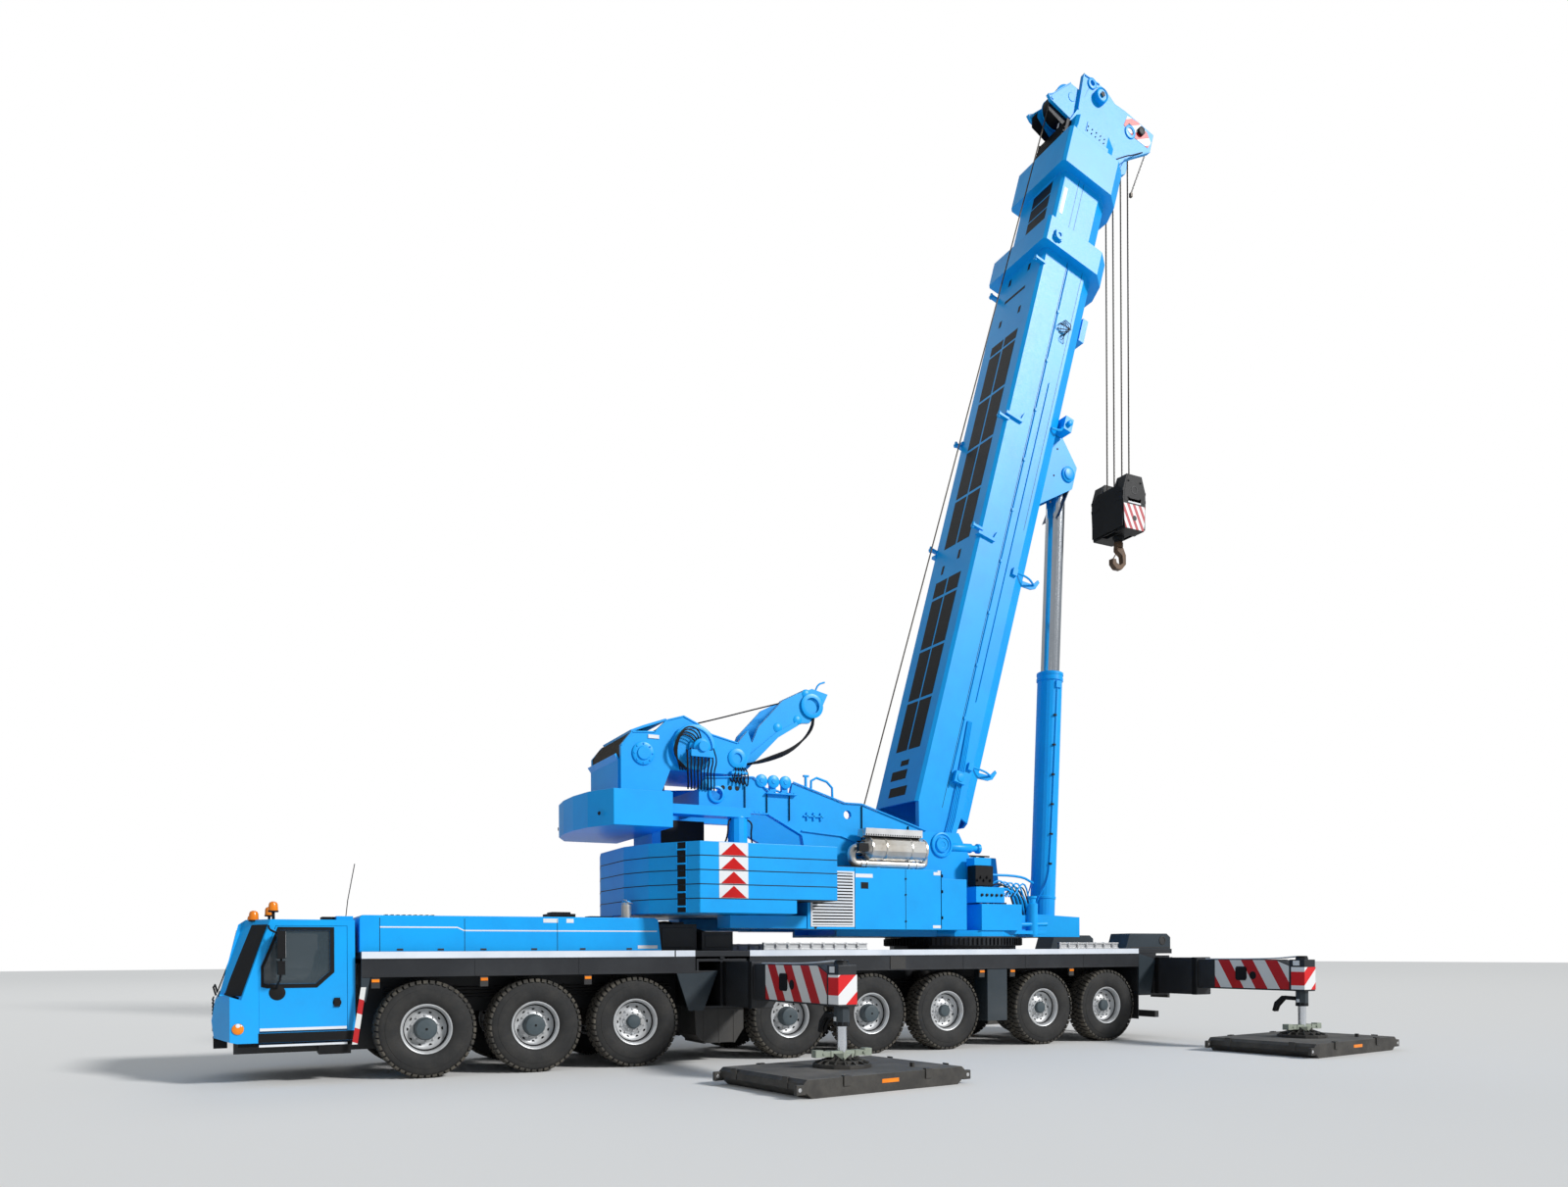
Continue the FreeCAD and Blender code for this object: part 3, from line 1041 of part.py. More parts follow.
os.makedirs("parts", exist_ok=True)
for part in nodes:
    part.Shape.exportStep("parts/%s.step" % part.Label)
    box = part.Shape.BoundBox
    print("%-30s %2d solids x %.0f..%.0f y %.0f..%.0f z %.0f..%.0f" % (
        part.Label, len(part.Shape.Solids), box.XMin, box.XMax, box.YMin, box.YMax, box.ZMin, box.ZMax))
print(len(nodes), "nodes, origin", round(mid_x.number, 1), "behind the front axle")
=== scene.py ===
import bmesh
import bpy
import math
from mathutils import Matrix, Vector


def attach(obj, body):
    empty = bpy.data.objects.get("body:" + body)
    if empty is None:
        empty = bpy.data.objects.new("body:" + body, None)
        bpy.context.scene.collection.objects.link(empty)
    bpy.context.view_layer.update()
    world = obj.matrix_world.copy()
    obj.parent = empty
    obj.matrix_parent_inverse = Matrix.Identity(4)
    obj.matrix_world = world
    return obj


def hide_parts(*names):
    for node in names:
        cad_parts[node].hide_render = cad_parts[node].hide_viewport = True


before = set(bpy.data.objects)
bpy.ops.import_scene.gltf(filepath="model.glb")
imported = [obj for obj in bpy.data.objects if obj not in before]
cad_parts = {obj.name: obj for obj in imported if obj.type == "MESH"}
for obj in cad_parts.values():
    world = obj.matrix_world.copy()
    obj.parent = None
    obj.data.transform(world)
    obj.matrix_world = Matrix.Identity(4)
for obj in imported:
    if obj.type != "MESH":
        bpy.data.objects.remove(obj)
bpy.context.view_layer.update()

# The view. The camera stands about 17 m beside the cab, 1.9 m above the ground, and looks level
# past the crane's front left corner. Its shift lifts the picture so that the boom head fits in.
view = bpy.data.cameras.new("view")
view.lens = 24.81
view.sensor_width = 36.0
view.shift_y = 0.229
view.clip_end = 400.0
eye = bpy.data.objects.new("eye", view)
eye.location = (-9.6229, -18.558, 1.88)
eye.rotation_euler = (Matrix.Rotation(math.radians(-27.01), 3, "Z")
                      @ Matrix.Rotation(math.radians(90), 3, "X")
                      @ Matrix.Rotation(math.radians(-0.3), 3, "Z")).to_euler()
bpy.context.scene.collection.objects.link(eye)
bpy.context.scene.camera = eye

# The studio. A pale floor that runs on out of the picture, a white backdrop seen only by the
# camera, an even key light from the camera's right and two weak soft lamps before and beyond the crane.
floor_mesh = bpy.data.meshes.new("floor")
floor_mesh.from_pydata([(-150, -150, 0), (150, -150, 0), (150, 150, 0), (-150, 150, 0)], [], [(0, 1, 2, 3)])
floor = bpy.data.objects.new("floor", floor_mesh)
bpy.context.scene.collection.objects.link(floor)
floor_finish = bpy.data.materials.new("floor_finish")
floor_finish.use_nodes = True
floor_finish.node_tree.nodes["Principled BSDF"].inputs["Base Color"].default_value = (0.8, 0.79, 0.77, 1)
floor_finish.node_tree.nodes["Principled BSDF"].inputs["Roughness"].default_value = 0.9
floor_mesh.materials.append(floor_finish)

world = bpy.data.worlds.new("studio")
bpy.context.scene.world = world
world.use_nodes = True
sky = world.node_tree
sky.nodes["Background"].inputs["Color"].default_value = (0.86, 0.93, 1.0, 1)
sky.nodes["Background"].inputs["Strength"].default_value = 0.36
backdrop = sky.nodes.new("ShaderNodeBackground")
backdrop.inputs["Color"].default_value = (1, 1, 1, 1)
backdrop.inputs["Strength"].default_value = 1.0
seen = sky.nodes.new("ShaderNodeLightPath")
choice = sky.nodes.new("ShaderNodeMixShader")
sky.links.new(seen.outputs["Is Camera Ray"], choice.inputs[0])
sky.links.new(sky.nodes["Background"].outputs[0], choice.inputs[1])
sky.links.new(backdrop.outputs[0], choice.inputs[2])
sky.links.new(choice.outputs[0], sky.nodes["World Output"].inputs["Surface"])
for name, kind, at, size, power in (("key_lamp", "SUN", (32, -46, 36), math.radians(9), 2.9),
                                    ("fill_lamp", "AREA", (-45, -20, 30), 30, 700),
                                    ("back_lamp", "AREA", (10, 50, 50), 30, 4000)):
    lamp = bpy.data.lights.new(name, kind)
    if kind == "SUN":
        lamp.angle = size
    else:
        lamp.size = size
    lamp.energy = power
    stand = bpy.data.objects.new(name, lamp)
    stand.location = at
    stand.rotation_euler = (Vector((0, 0, 4)) - Vector(at)).to_track_quat("-Z", "Y").to_euler()
    bpy.context.scene.collection.objects.link(stand)
bpy.context.scene.view_settings.view_transform = "Standard"


# The main frame. A welded box of high-strength steel with two outrigger boxes across it, painted
# anthracite and dusty below, with the hydraulic tank, air tanks and pipes hung on its sides.
def coat(name, colour, second, roughness=0.4, metallic=0.0, cloud=1.2, grain=40.0, bump=0.04, dust=0.0,
         shine=0.4):
    """A worn finish: two tones in clouds, a fine grain in the gloss, and pale dust that gathers low down."""
    finish = bpy.data.materials.new(name)
    finish.use_nodes = True
    tree = finish.node_tree
    shader = tree.nodes["Principled BSDF"]
    shader.inputs["Metallic"].default_value = metallic
    shader.inputs["Specular IOR Level"].default_value = shine
    where = tree.nodes.new("ShaderNodeTexCoord")
    clouds = tree.nodes.new("ShaderNodeTexNoise")
    clouds.inputs["Scale"].default_value = cloud
    clouds.inputs["Detail"].default_value = 8.0
    clouds.inputs["Roughness"].default_value = 0.65
    tree.links.new(where.outputs["Object"], clouds.inputs["Vector"])
    ramp = tree.nodes.new("ShaderNodeValToRGB")
    ramp.color_ramp.elements[0].position = 0.42
    ramp.color_ramp.elements[0].color = (*colour, 1)
    ramp.color_ramp.elements[1].position = 0.72
    ramp.color_ramp.elements[1].color = (*second, 1)
    tree.links.new(clouds.outputs["Fac"], ramp.inputs["Fac"])
    colour_out = ramp.outputs["Color"]
    if dust:
        height = tree.nodes.new("ShaderNodeSeparateXYZ")
        tree.links.new(where.outputs["Object"], height.inputs[0])
        low = tree.nodes.new("ShaderNodeMapRange")
        low.inputs["From Min"].default_value = 1.9
        low.inputs["From Max"].default_value = 0.1
        low.inputs["To Max"].default_value = dust
        tree.links.new(height.outputs["Z"], low.inputs["Value"])
        patches = tree.nodes.new("ShaderNodeMath")
        patches.operation = "MULTIPLY"
        tree.links.new(low.outputs[0], patches.inputs[0])
        tree.links.new(clouds.outputs["Fac"], patches.inputs[1])
        dusty = tree.nodes.new("ShaderNodeMix")
        dusty.data_type = "RGBA"
        dusty.inputs["B"].default_value = (0.42, 0.36, 0.27, 1)
        tree.links.new(patches.outputs[0], dusty.inputs["Factor"])
        tree.links.new(colour_out, dusty.inputs["A"])
        colour_out = dusty.outputs["Result"]
    tree.links.new(colour_out, shader.inputs["Base Color"])
    grains = tree.nodes.new("ShaderNodeTexNoise")
    grains.inputs["Scale"].default_value = grain
    grains.inputs["Detail"].default_value = 5.0
    tree.links.new(where.outputs["Object"], grains.inputs["Vector"])
    gloss = tree.nodes.new("ShaderNodeMapRange")
    gloss.inputs["To Min"].default_value = max(roughness - 0.1, 0.03)
    gloss.inputs["To Max"].default_value = min(roughness + 0.15, 1.0)
    tree.links.new(grains.outputs["Fac"], gloss.inputs["Value"])
    tree.links.new(gloss.outputs[0], shader.inputs["Roughness"])
    relief = tree.nodes.new("ShaderNodeBump")
    relief.inputs["Strength"].default_value = bump
    relief.inputs["Distance"].default_value = 0.01
    tree.links.new(grains.outputs["Fac"], relief.inputs["Height"])
    tree.links.new(relief.outputs[0], shader.inputs["Normal"])
    return finish


def edges(thing, width):
    """Rounded edges that catch the light."""
    rounding = thing.modifiers.new("edges", "BEVEL")
    rounding.width = width / 1000
    rounding.segments = 2
    rounding.limit_method = "ANGLE"
    rounding.angle_limit = math.radians(42)
    rounding.harden_normals = True


def dress(node, finish, width=6):
    """Paint one CAD node and round its edges."""
    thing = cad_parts[node]
    thing.data.materials.clear()
    thing.data.materials.append(finish)
    weld = thing.modifiers.new("weld", "WELD")
    weld.merge_threshold = 0.0001
    edges(thing, width)


front_axle = 7008.9  # millimetres from the front axle back to the middle of the frame that all tools share


def paint(node, finish, here):
    """Another finish on those faces of a CAD node whose middle, in millimetres, is here."""
    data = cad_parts[node].data
    data.materials.append(finish)
    for face in data.polygons:
        c = face.center * 1000
        if here(c.x + front_axle, c.y, c.z):
            face.material_index = len(data.materials) - 1


def from_axle(x, y, z):
    """Millimetres behind the front axle, to the right and above the ground, as a point of the row frame."""
    return Vector((x - front_axle, y, z)) / 1000


def sloping(x0, z0, angle):
    """A way to place what is drawn along a sloping line: along it, to the right, and square above it."""
    c, s = math.cos(math.radians(angle)), math.sin(math.radians(angle))
    return lambda along, y, up: from_axle(x0 + along * c - up * s, y, z0 + along * s + up * c)


class Work:
    """One piece, built up from plates, boxes, turned forms and bent pipes. Millimetres."""

    def __init__(self, put=from_axle, side=1):
        self.put = put
        self.side = side
        self.mesh = bmesh.new()
        self.tone = 0

    def both(self):
        """Draw what follows on the left, mirrored, and then on the right."""
        for self.side in (-1, 1):
            yield self.side

    def faces(self, corners, faces):
        points = [self.mesh.verts.new(self.put(x, y * self.side, z)) for x, y, z in corners]
        for face in faces:
            made = self.mesh.faces.new([points[i] for i in face])
            made.material_index = self.tone

    def box(self, x0, x1, y0, y1, z0, z1):
        corners = [(x, y, z) for x in (x0, x1) for y in (y0, y1) for z in (z0, z1)]
        self.faces(corners, ((0, 1, 3, 2), (4, 6, 7, 5), (0, 4, 5, 1), (2, 3, 7, 6), (0, 2, 6, 4),
                             (1, 5, 7, 3)))

    def boxes(self, *sizes):
        for size in sizes:
            self.box(*size)

    def prism(self, corners):
        """A solid between two like outlines, given one after the other."""
        count = len(corners) // 2
        sides = [(i, (i + 1) % count, count + (i + 1) % count, count + i) for i in range(count)]
        self.faces(corners, [tuple(range(count)), tuple(range(2 * count - 1, count - 1, -1))] + sides)

    def plate(self, outline, y0, y1):
        """An outline in the upright plane along the crane, from y0 to y1."""
        self.prism([(x, y, z) for y in (y0, y1) for x, z in outline])

    def flat(self, outline, z0, z1):
        """An outline seen from above, from z0 to z1."""
        self.prism([(x, y, z) for z in (z0, z1) for x, y in outline])

    def skin(self, rings, sides, closed=False):
        """Rings of corners joined to a skin: with a lid at both ends, or closed to a loop."""
        count = len(rings)
        faces = []
        for ring in range(count if closed else count - 1):
            for k in range(sides):
                n, on = (k + 1) % sides, (ring + 1) % count * sides
                faces.append((ring * sides + k, ring * sides + n, on + n, on + k))
        if not closed:
            last = (count - 1) * sides
            faces += [tuple(range(sides)), tuple(last + k for k in range(sides - 1, -1, -1))]
        self.faces([corner for ring in rings for corner in ring], faces)

    def ring(self, at, u, v, radius, sides):
        turns = [2 * math.pi * k / sides for k in range(sides)]
        return [at + (u * math.cos(a) + v * math.sin(a)) * radius for a in turns]

    def turned(self, at, axis, profile, sides=24, closed=False):
        """A lathe form: pairs of distance along the axis and radius, closed at both ends."""
        at, axis = Vector(at), Vector(axis).normalized()
        u = axis.orthogonal().normalized()
        v = axis.cross(u)
        self.skin([self.ring(at + axis * along, u, v, radius, sides) for along, radius in profile], sides,
                  closed)

    def hoop(self, at, axis, outline, sides=32):
        """A ring: a closed outline of distances along the axis and radii, carried round."""
        self.turned(at, axis, outline, sides, True)

    def pipe(self, path, radius, sides=8, bends=2):
        """A pipe or hose along a path, its corners rounded off."""
        path = [Vector(p) for p in path]
        for _ in range(bends):
            cut = [path[0]]
            for a, b in zip(path, path[1:]):
                cut += [a.lerp(b, 0.25), a.lerp(b, 0.75)]
            path = cut + [path[-1]]
        rings, u = [], None
        for i, point in enumerate(path):
            ahead = (path[min(i + 1, len(path) - 1)] - path[max(i - 1, 0)]).normalized()
            u = ahead.orthogonal() if u is None else u - ahead * u.dot(ahead)
            u.normalize()
            rings.append(self.ring(point, u, ahead.cross(u), radius, sides))
        self.skin(rings, sides)

    def bolts(self, places, axis, radius=14, height=16):
        for at in places:
            self.turned(at, axis, ((0, radius), (height * 0.8, radius), (height, radius * 0.7)), 6)

    def done(self, name, finishes, crease=38):
        """The finished mesh, smooth but for its sharp edges."""
        bmesh.ops.recalc_face_normals(self.mesh, faces=self.mesh.faces)
        data = bpy.data.meshes.new(name)
        self.mesh.to_mesh(data)
        self.mesh.free()
        for finish in finishes if isinstance(finishes, tuple) else (finishes,):
            data.materials.append(finish)
        for face in data.polygons:
            face.use_smooth = True
        data.set_sharp_from_angle(angle=math.radians(crease))
        return data

    def piece(self, name, finishes, body, slot, width=3):
        """Hand the work over as a finished piece that rides on a body."""
        thing = bpy.data.objects.new(name, self.done(name, finishes))
        bpy.context.scene.collection.objects.link(thing)
        if width:
            edges(thing, width)
        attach(thing, body)
        return thing


anthracite = coat("anthracite", (0.012, 0.014, 0.018), (0.022, 0.025, 0.03), 0.38, dust=0.1)
dark_steel = coat("dark_steel", (0.02, 0.021, 0.023), (0.035, 0.034, 0.032), 0.55, dust=0.15)
dress("chassis_frame", anthracite)
tank = Work()
for y0, y1 in ((-1380, -520), (520, 1380)):
    tank.plate(((4420, 925), (5340, 925), (5340, 560), (5180, 330), (4620, 330), (4440, 470)), y0, y1)
    for x in (4600, 4880, 5160):
        tank.box(x - 20, x + 20, y0 - 8, y1 + 8, 322, 925)
for x0, x1, y in ((8400, 9200, 700), (12560, 13100, 700), (2050, 2900, 700), (8400, 9200, -700)):
    tank.turned((x0, y, 860), (1, 0, 0), ((0, 40), (30, 110), (x1 - x0 - 30, 110), (x1 - x0, 40)), 20)
tank.piece("frame_tanks", dark_steel, "root", "anthracite_paint", 8)
lines = Work()
for k in range(4):
    for _ in lines.both():
        y = 462 + 6 * k
        lines.pipe(((-500, y, 1180 + 55 * k), (4300, y, 1180 + 55 * k)), 14, bends=0)
        lines.pipe(((5400, y, 1180 + 55 * k), (14500, y, 1180 + 55 * k)), 14, bends=0)
for x in range(-300, 14300, 900):
    if not 4200 < x < 5500:
        for sign in (-1, 1):
            lines.box(x - 20, x + 20, sign * 455 - 8, sign * 455 + 30 * sign, 1150, 1380)
lines.piece("frame_lines", dark_steel, "root", "anthracite_paint", 0)
amber = coat("amber_lens", (0.9, 0.25, 0.01), (0.7, 0.16, 0.01), 0.15, bump=0.01)
red = coat("red_lens", (0.6, 0.01, 0.01), (0.45, 0.008, 0.008), 0.15, bump=0.01)
tail = Work()
for middle in (-1150, 1150):
    tail.tone = 0
    tail.box(15500, 15560, middle - 250, middle + 250, 860, 990)
    for y, tail.tone in ((-150, 1), (0, 1), (150, 2)):
        tail.turned((15560, middle + y, 925), (1, 0, 0), ((0, 52), (14, 52), (22, 40)), 20)
tail.piece("tail_lamps", (dark_steel, red, amber), "root", "anthracite_paint")
iron = coat("engine_iron", (0.09, 0.09, 0.085), (0.05, 0.045, 0.04), 0.6)
dress("carrier_engine", iron)

# The deck. Chequered walkways on both sides of the frame with a bright aluminium edge, dark
# skirts over the wheels, grey-blue boxes, housings at the rear and two folded ladders.
slate = coat("slate_panels", (0.018, 0.03, 0.04), (0.028, 0.042, 0.055), 0.4, dust=0.1)
edge_white = coat("deck_edge_white", (0.74, 0.78, 0.84), (0.6, 0.65, 0.72), 0.4, grain=90)
bare = coat("bare_aluminium", (0.62, 0.62, 0.62), (0.45, 0.45, 0.45), 0.35, 0.7, grain=120)
dress("carrier_deck", anthracite)
paint("carrier_deck", slate, lambda x, y, z: z < 1540 and abs(y) > 1000 or x > 14150 and z > 1925)
skirt = Work()
for _ in skirt.both():
    for x0, x1 in ((-925, 4010), (4034, 4385), (5412, 14545)):
        y0, y1 = 1502, 1508
        skirt.tone = 1
        skirt.boxes((x0, x1, y0, y1, 1822, 1924), (x0, x1, 1508, 1400, 1921, 1926))
        skirt.tone = 0
        if x1 - x0 > 1000:
            y0, y1 = 1500, 1506
            skirt.boxes((x0 + 20, x1 - 20, y0, y1, 1545, 1562), (x0 + 20, x1 - 20, y0, y1, 1800, 1816))
            count = round((x1 - x0) / 1650)
            for k in range(1, count):
                x = x0 + (x1 - x0) * k / count
                skirt.box(x - 6, x + 6, y0, y1, 1545, 1816)
skirt.piece("deck_edges", (anthracite, edge_white), "root", "anthracite_paint", 2)
marks = Work()
for x in (-731, 858, 2514, 7060, 10430, 11180, 12700):
    for _ in marks.both():
        marks.tone = 0
        marks.box(x - 62, x + 62, 1490, 1450, 1380, 1540)
        marks.tone = 1
        y0, y1 = 1490, 1502
        marks.box(x - 55, x + 55, y0, y1, 1470, 1515)
marks.tone = 0
marks.box(8300, 8640, -1514, -1500, 1560, 1800)
marks.piece("side_markers", (dark_steel, amber), "root", "anthracite_paint", 3)
grip = Work()
for x0, x1 in ((3900, 4380), (5420, 9300), (12300, 14150)):
    for sign in (-1, 1):
        for k in range(int((x1 - x0) / 130)):
            x = x0 + 130 * k
            for j in range(3):
                y = sign * (1000 + 150 * j)
                grip.flat(((x, y - 45), (x + 12, y - 50), (x + 62, y + 45), (x + 50, y + 50)), 1919, 1925)
grip.piece("deck_grip", anthracite, "root", "anthracite_paint", 0)
boxes = Work()
for x0, x1, y0, y1, z in ((3960, 4680, -860, -80, 2390), (3960, 4680, 80, 860, 2390),
                          (4740, 5340, -950, 950, 2260), (4300, 4500, -700, 700, 2430)):
    boxes.boxes((x0, x1, y0, y1, 1924, z), (x0 + 60, x1 - 60, y0 - 12, y1 + 12, 1980, z - 60))
for y in (-560, -400, 400, 560):
    boxes.pipe(((4000, y, 2380), (4200, y, 2450), (4700, y, 2330), (5000, y, 2240)), 22)
boxes.piece("deck_boxes", anthracite, "root", "anthracite_paint", 6)
ladder = Work()
for x0, x1, y in ((5750, 7900, -1330), (12500, 14120, -1330), (5750, 7900, 1330)):
    for z in (1926, 2030):
        ladder.box(x0, x1, y - 30, y + 30, z, z + 28)
    ladder.box(x0, x1, y - 4, y + 4, 1950, 2034)
    for k in range(int((x1 - x0) / 240) + 1):
        x = x0 + 240 * k
        ladder.box(x, x + 36, y - 38, y + 38, 1926, 2062)
        ladder.turned((x + 18, y - 38, 1995), (0, -1, 0), ((0, 16), (8, 12)), 8)
ladder.piece("deck_ladders", bare, "root", "anthracite_paint", 3)
rear = Work()
for _ in rear.both():
    y0, y1 = 1462, 1470
    rear.turned((15280, 1460, 2100), (0, 1, 0), ((0, 95), (10, 95), (12, 72), (4, 70)), 32)
    rear.box(14360, 15500, y0, y1, 1940, 1962)
    rear.pipe(((14560, 1480, 1500), (14600, 1480, 1760), (14980, 1480, 1760)), 9)
rear.piece("rear_housing_trim", dark_steel, "root", "anthracite_paint", 2)

# The engine cover. Blue folded sheet over the diesel, in three lengths with fine joints, a thin
# white line along it, an air intake on top and the exhaust stack with its rain flap.
azure = coat("azure_paint", (0.001, 0.385, 0.9), (0.002, 0.33, 0.82), 0.34, grain=70, bump=0.015, dust=0.1,
             shine=0.3)
white = coat("white_paint", (0.78, 0.8, 0.82), (0.7, 0.72, 0.74), 0.4)
black = coat("black_trim", (0.006, 0.006, 0.007), (0.012, 0.012, 0.012), 0.45, shine=0.2)
steel = coat("stainless", (0.66, 0.64, 0.6), (0.5, 0.45, 0.38), 0.3, 0.85, cloud=2, grain=60)
dress("engine_cover", azure, 14)
trim = Work()
for _ in trim.both():
    y0, y1 = 1250, 1252.5
    trim.tone = 1
    trim.box(-640, 500, y0, y1, 2290, 2310)
    trim.plate(((500, 2290), (500, 2310), (600, 2262), (600, 2242)), y0, y1)
    trim.boxes((600, 3790, y0, y1, 2242, 2262), (3450, 3800, y0, y1, 1960, 2015),
               (1850, 2090, y0, y1, 2385, 2450), (2230, 2350, y0, y1, 2385, 2450))
    trim.tone = 0
    for x in (-640, 610, 2080):
        trim.box(x - 4, x + 4, y0, y1, 1930, 2440)
    trim.tone = 2
    for x in (-350, 250, 900, 1700, 2500, 3300):
        trim.box(x - 45, x + 45, min(y0, y1) - 6, max(y0, y1) + 6, 1945, 1972)
trim.piece("cover_trim", (black, white, dark_steel), "root", "azure_paint", 0)
stack = Work()
stack.pipe(((3320, -1050, 2740), (3320, -1050, 2700), (3320, -1050, 2560)), 74, 24, 0)
stack.pipe(((3320, -1050, 2700), (3320, -1050, 2480)), 84, 24, 0)
stack.tone = 1
stack.turned((3345, -1062, 2752), (0.35, -0.25, 0.9), ((0, 92), (7, 92), (10, 84)), 28)
stack.box(3312, 3328, -1060, -1040, 2740, 2790)
stack.tone = 2
for x0, x1, y0, y1, h in ((2030, 2470, -950, -510, 66), (2090, 2400, -900, -560, 96),
                          (1300, 1750, 480, 900, 60), (-500, 300, -600, 600, 24),
                          (2700, 3100, -1000, -700, 30)):
    stack.box(x0, x1, y0, y1, 2478, 2478 + h)
for k in range(9):
    stack.box(-480 + 88 * k, -440 + 88 * k, -580, 580, 2500, 2514)
stack.piece("cover_stack", (steel, bare, black), "root", "azure_paint", 3)

# The driver's cab. Steel shell with a leaning windscreen, tinted side windows in black rubber,
# two hinged doors, mirrors on arms, two amber beacons, steps, lamps and a bumper with a grille.
glass = bpy.data.materials.new("tinted_glass")
glass.use_nodes = True
clear = glass.node_tree.nodes["Principled BSDF"]
clear.inputs["Base Color"].default_value = (0.045, 0.07, 0.085, 1)
clear.inputs["Alpha"].default_value = 0.62
clear.inputs["Specular IOR Level"].default_value = 0.8
smear = glass.node_tree.nodes.new("ShaderNodeTexNoise")
smear.inputs["Scale"].default_value = 6.0
rub = glass.node_tree.nodes.new("ShaderNodeMapRange")
rub.inputs["To Min"].default_value = 0.02
rub.inputs["To Max"].default_value = 0.12
glass.node_tree.links.new(smear.outputs["Fac"], rub.inputs["Value"])
glass.node_tree.links.new(rub.outputs[0], clear.inputs["Roughness"])
dress("driver_cab", azure, 26)
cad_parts["cab_windows"].data.materials.clear()
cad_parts["cab_windows"].data.materials.append(glass)
sides = (("left", -1), ("right", 1))
for side, sign in sides:
    dress("cab_door_" + side, azure, 5)
    paint("cab_door_" + side, glass, lambda x, y, z: abs(abs(y) - 1320) < 9 and 1440 < z < 2260)
    rubber = Work(side=sign)
    outline = ((-2225, 1480), (-2170, 1465), (-1541, 1465), (-1341, 1650), (-1341, 2245), (-2005, 2245),
               (-2225, 1700))
    grown = ((-2262, 1425), (-2180, 1405), (-1520, 1405), (-1285, 1625), (-1285, 2290), (-2040, 2290),
             (-2262, 1715))
    for k in range(len(outline)):
        n = (k + 1) % len(outline)
        rubber.plate((outline[k], outline[n], grown[n], grown[k]), 1340, 1356)
    rubber.piece("door_rubber_" + side, black, "cab_door_" + side, "azure_paint", 2)
    handle = Work(side=sign)
    handle.turned((-1250, 1350, 1180), (0, 1, 0), ((0, 60), (4, 60), (6, 40)), 20)
    handle.boxes((-1290, -1210, 1352, 1380, 1120, 1250), (-2285, -1115, 1350, 1353, 772, 786))
    handle.tone = 1
    handle.box(-2280, -1120, 1350, 1354, 790, 830)
    handle.piece("door_handle_" + side, (black, white), "cab_door_" + side, "azure_paint", 3)
face_trim = Work()
for _ in face_trim.both():
    y = 790
    face_trim.plate(((-2805, 1285), (-2770, 1285), (-2430, 2330), (-2470, 2330)), y - 22, y + 22)
    face_trim.prism([(-2812, 868, 1290), (-2520, 1330, 1300), (-2180, 1334, 2325), (-2470, 868, 2325),
                     (-2806, 862, 1290), (-2514, 1324, 1300), (-2174, 1328, 2325), (-2464, 862, 2325)])
face_trim.boxes((-2815, -2770, -800, 800, 1270, 1320), (-2500, -2440, -800, 800, 2290, 2330))
for k in range(3):
    face_trim.pipe(((-2830, -620 + 520 * k, 1330), (-2700, -560 + 520 * k, 1700),
                    (-2640, -330 + 520 * k, 1880)), 9)
face_trim.pipe(((-2872, -800, 1420), (-2872, 800, 1420)), 14, bends=0)
for y in (-800, 800):
    face_trim.pipe(((-2840, y, 1300), (-2872, y, 1420)), 14, bends=0)
for x in range(5):
    face_trim.box(-2898, -2880, -560, 560, 1010 + 52 * x, 1036 + 52 * x)
face_trim.piece("cab_front_trim", black, "root", "azure_paint", 3)
lamps = Work()
for _ in lamps.both():
    for y in (620, 420):
        lamps.tone = 0
        lamps.turned((-2862, y, 850), (-1, 0, 0.1), ((-20, 85), (22, 85), (26, 76)), 28)
        lamps.tone = 1
        lamps.turned((-2886, y, 852), (-1, 0, 0.1), ((0, 74), (6, 60), (9, 20)), 28)
    lamps.tone = 2
    lamps.turned((-2560, 1352, 830), (0, 1, 0), ((-10, 78), (14, 78), (24, 60), (28, 20)), 28)
    lamps.tone = 1
    lamps.turned((-2560, 1352, 880), (0, 1, 0), ((10, 30), (30, 30), (34, 16)), 20)
    lamps.box(-2290, -1110, 1200, 1345, 560, 590)
    lamps.tone = 0
    lamps.boxes((-2300, -1005, 1350, 1354, 622, 760), (-1500, -1060, 900, 1320, 420, 560))
lamps.box(-2560, -1010, -1250, 1250, 560, 616)
lamps.turned((-2865, 0, 640), (0, 1, 0), ((-120, 30), (120, 30)), 12)
lamps.box(-2890, -2700, -70, 70, 470, 640)
lamps.piece("cab_lamps", (black, white, amber), "root", "azure_paint", 3)
roof = Work()
for x, y, z in ((-2344, -1000, 2330), (-2086, -1000, 2400), (-2344, 1000, 2330), (-2086, 1000, 2400)):
    tall = z + (40 if z < 2390 else 110)
    roof.tone = 0
    roof.turned((x, y, z), (0, 0, 1), ((0, 22), (tall - z, 22), (tall - z + 4, 70), (tall - z + 26, 74)), 20)
    roof.tone = 1
    roof.turned((x, y, tall + 26), (0, 0, 1), ((0, 66), (90, 62), (120, 50), (136, 20)), 24)
roof.tone = 0
for _ in roof.both():
    roof.pipe(((-2160, 1330, 2310), (-2150, 1520, 2240), (-2010, 1560, 2180), (-2000, 1560, 1560),
               (-2060, 1420, 1440), (-2060, 1350, 1400)), 15, bends=2)
    roof.boxes((-2055, -1950, 1460, 1680, 1830, 2230), (-2050, -1955, 1470, 1670, 1600, 1800))
    roof.turned((-2050, 1350, 1340), (0, 1, 0), ((0, 110), (5, 110), (7, 100)), 28)
roof.box(-1420, -1160, -900, -500, 2398, 2458)
